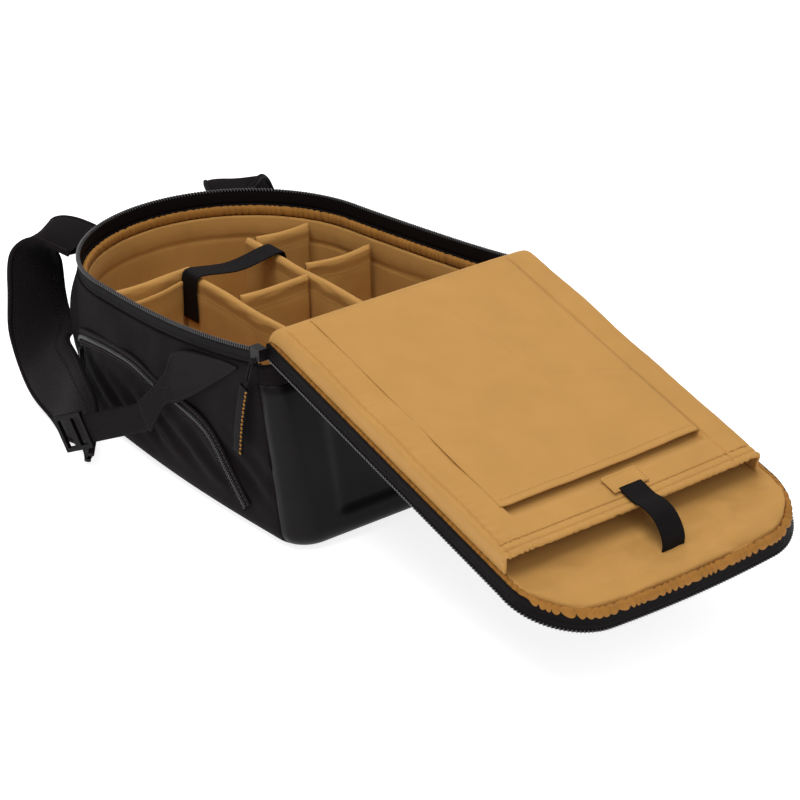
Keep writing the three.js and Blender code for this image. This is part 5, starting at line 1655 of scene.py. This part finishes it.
    def pocket(self):
        d = np.linspace(POCKET_HEEL + GAP, POCKET_MOUTH, 110)
        y = np.linspace(POCKET_NEAR_Y + 0.6 * MM, SLEEVE_SEAM_Y - 0.6 * MM, 100)
        dd, yy = np.meshgrid(d, y, indexing="ij")
        edge = np.minimum(yy - y[0], y[-1] - yy)
        tuck = step(6 * MM, 0, edge) * (yy > 0) + step(12 * MM, 0, dd - d[0])
        crease = hump(5 * MM + 0.12 * dd, 3.4 * MM, yy) * step(20 * MM, 70 * MM, dd)
        crease *= step(230 * MM, 150 * MM, dd)
        cross = hump(150 * MM + 0.35 * yy, 3.4 * MM, dd) * step(0.0, 60 * MM, yy)
        soft = ripples(dd, yy, 110 * MM, 61) * 0.7 + ripples(dd, yy, 38 * MM, 66) * 0.24
        soft = soft * step(0, 14 * MM, edge) + 0.5 * step(10 * MM, 0, yy - y[0])
        sag = step(POCKET_MOUTH - 60 * MM, POCKET_MOUTH, dd) * np.sin(
            np.pi * (yy - y[0]) / (y[-1] - y[0]))
        n = MM * (0.4 + soft - 0.7 * tuck - 0.8 * crease - 0.6 * cross - 1.2 * sag)
        sheet = grid("pocket_cloth", on_panel(dd, yy, n), "tan_cloth")
        face_away(sheet, on_panel(0.15, 0, -1.0))
        thicken(sheet, POCKET_SHEET * 0.7)
        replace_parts(sheet, "tablet_pocket")
        points = on_panel(dd, yy, n) + PANEL_UP * STITCH_LIFT
        stitches("pocket_hem", points[-4, 2:-2], PANEL_UP, "tan_thread", THIN_THREAD)

    def strap(self):
        reach, height = SLEEVE_STRAP_REACH, SLEEVE_HEIGHT
        rows = np.array([
            (-0.5, 0.0, 0), (-0.05, 0.0, 0), (0.2, 0.06, 0), (0.5, 0.05, 0),
            (0.78, 0, 0.19), (0.95, 0, 0.57), (1, 0.04, 1.0)])
        d = SLEEVE_LENGTH + rows[:, 0] * reach
        n = rows[:, 1] * reach - rows[:, 2] * height
        path = curve(on_panel(d, 1.5 * MM, n), 80)
        side = np.broadcast_to([0, 1.0, 0], path.shape)
        strap = band("closing_strap", path, side, SLEEVE_STRAP_WIDTH,
                     WEBBING_THICKNESS, "zip_tape")
        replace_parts(strap, "sleeve_strap")
        y = np.linspace(-17, 20, 20) * MM
        d = np.linspace(SLEEVE_LENGTH - 36 * MM, SLEEVE_LENGTH - 17 * MM, 12)
        dd, yy = np.meshgrid(d, y, indexing="ij")
        patch = grid("strap_patch", on_panel(dd, yy, 0.1 * MM + 0 * dd), "tan_cloth")
        face_away(patch, on_panel(0.3, 0, -1.0))
        thicken(patch, 0.8 * MM)
        points = on_panel(dd, yy, 0.25 * MM + 0 * dd)
        for name, line in (("a", points[1, 1:-1]), ("b", points[-2, 1:-1])):
            stitches(f"strap_patch_stitches_{name}", line, PANEL_UP, "tan_thread",
                     FINE_THREAD)


class BAG_OT_stage(BagOperator, bpy.types.Operator):
    """Lay the pale floor and set the soft studio lights"""
    bl_idname = "bag.stage"
    bl_label = "Stage"

    def make(self, sizes):
        mesh = bpy.data.meshes.new("floor")
        corners = [(x * FLOOR_REACH, y * FLOOR_REACH, -FLOOR_DROP)
                   for x, y in ((-1, -1), (1, -1), (1, 1), (-1, 1))]
        mesh.from_pydata(corners, [], [(0, 1, 2, 3)])
        floor = bpy.data.objects.new("floor", mesh)
        bpy.context.scene.collection.objects.link(floor)
        finish = Finish("pale_floor")
        mottling = finish.noise(finish.solid_place(), 3.0)
        finish.shade(
            Base_Color=finish.tint(FLOOR_GREY, 0.98, mottling), Roughness=0.9,
            Specular_IOR_Level=0.1, Emission_Color=(1, 1, 1, 1), Emission_Strength=FLOOR_GLOW)
        mesh.materials.append(finish.material)
        world = bpy.data.worlds.new("studio")
        world.use_nodes = True
        background = world.node_tree.nodes["Background"]
        background.inputs["Color"].default_value = (1, 1, 1, 1)
        background.inputs["Strength"].default_value = WORLD_STRENGTH
        bpy.context.scene.world = world
        bpy.context.scene.view_settings.view_transform = "Standard"
        for name, place, power, size in LIGHTS:
            data = bpy.data.lights.new(name, "AREA")
            data.energy = power
            data.size = size
            light = bpy.data.objects.new(name, data)
            light.location = place
            aim = Vector(LIGHT_AIM) - Vector(place)
            light.rotation_euler = aim.to_track_quat("-Z", "Y").to_euler()
            bpy.context.scene.collection.objects.link(light)


PIECES = (
    BAG_OT_camera, BAG_OT_body, BAG_OT_base, BAG_OT_lining, BAG_OT_rim, BAG_OT_dividers,
    BAG_OT_gear_strap, BAG_OT_side_door, BAG_OT_wings, BAG_OT_shoulder_straps,
    BAG_OT_main_slider, BAG_OT_back_panel, BAG_OT_hinge, BAG_OT_panel_rim, BAG_OT_sleeve,
    BAG_OT_stage,
)


class BAG_PT_panel(bpy.types.Panel):
    """Lists the bag's pieces, sizes and colours in the sidebar"""
    bl_idname = "BAG_PT_panel"
    bl_label = "Backpack"
    bl_space_type = "VIEW_3D"
    bl_region_type = "UI"
    bl_category = "Backpack"

    def draw(self, context):
        for operator in PIECES:
            self.layout.operator(operator.bl_idname)
        for group in (context.scene.bag_sizes, context.scene.bag_colours):
            for name in group.bl_rna.properties.keys():
                if name not in ("rna_type", "name"):
                    self.layout.prop(group, name)


CLASSES = (BagSizes, BagColours, *PIECES, BAG_PT_panel)


def register():
    for item in CLASSES:
        bpy.utils.register_class(item)
    bpy.types.Scene.bag_sizes = bpy.props.PointerProperty(type=BagSizes)
    bpy.types.Scene.bag_colours = bpy.props.PointerProperty(type=BagColours)


def unregister():
    del bpy.types.Scene.bag_colours
    del bpy.types.Scene.bag_sizes
    for item in reversed(CLASSES):
        bpy.utils.unregister_class(item)


def main():
    register()
    for operator in PIECES:
        getattr(bpy.ops.bag, operator.bl_idname.split(".")[1])()


if __name__ == "__main__":
    main()
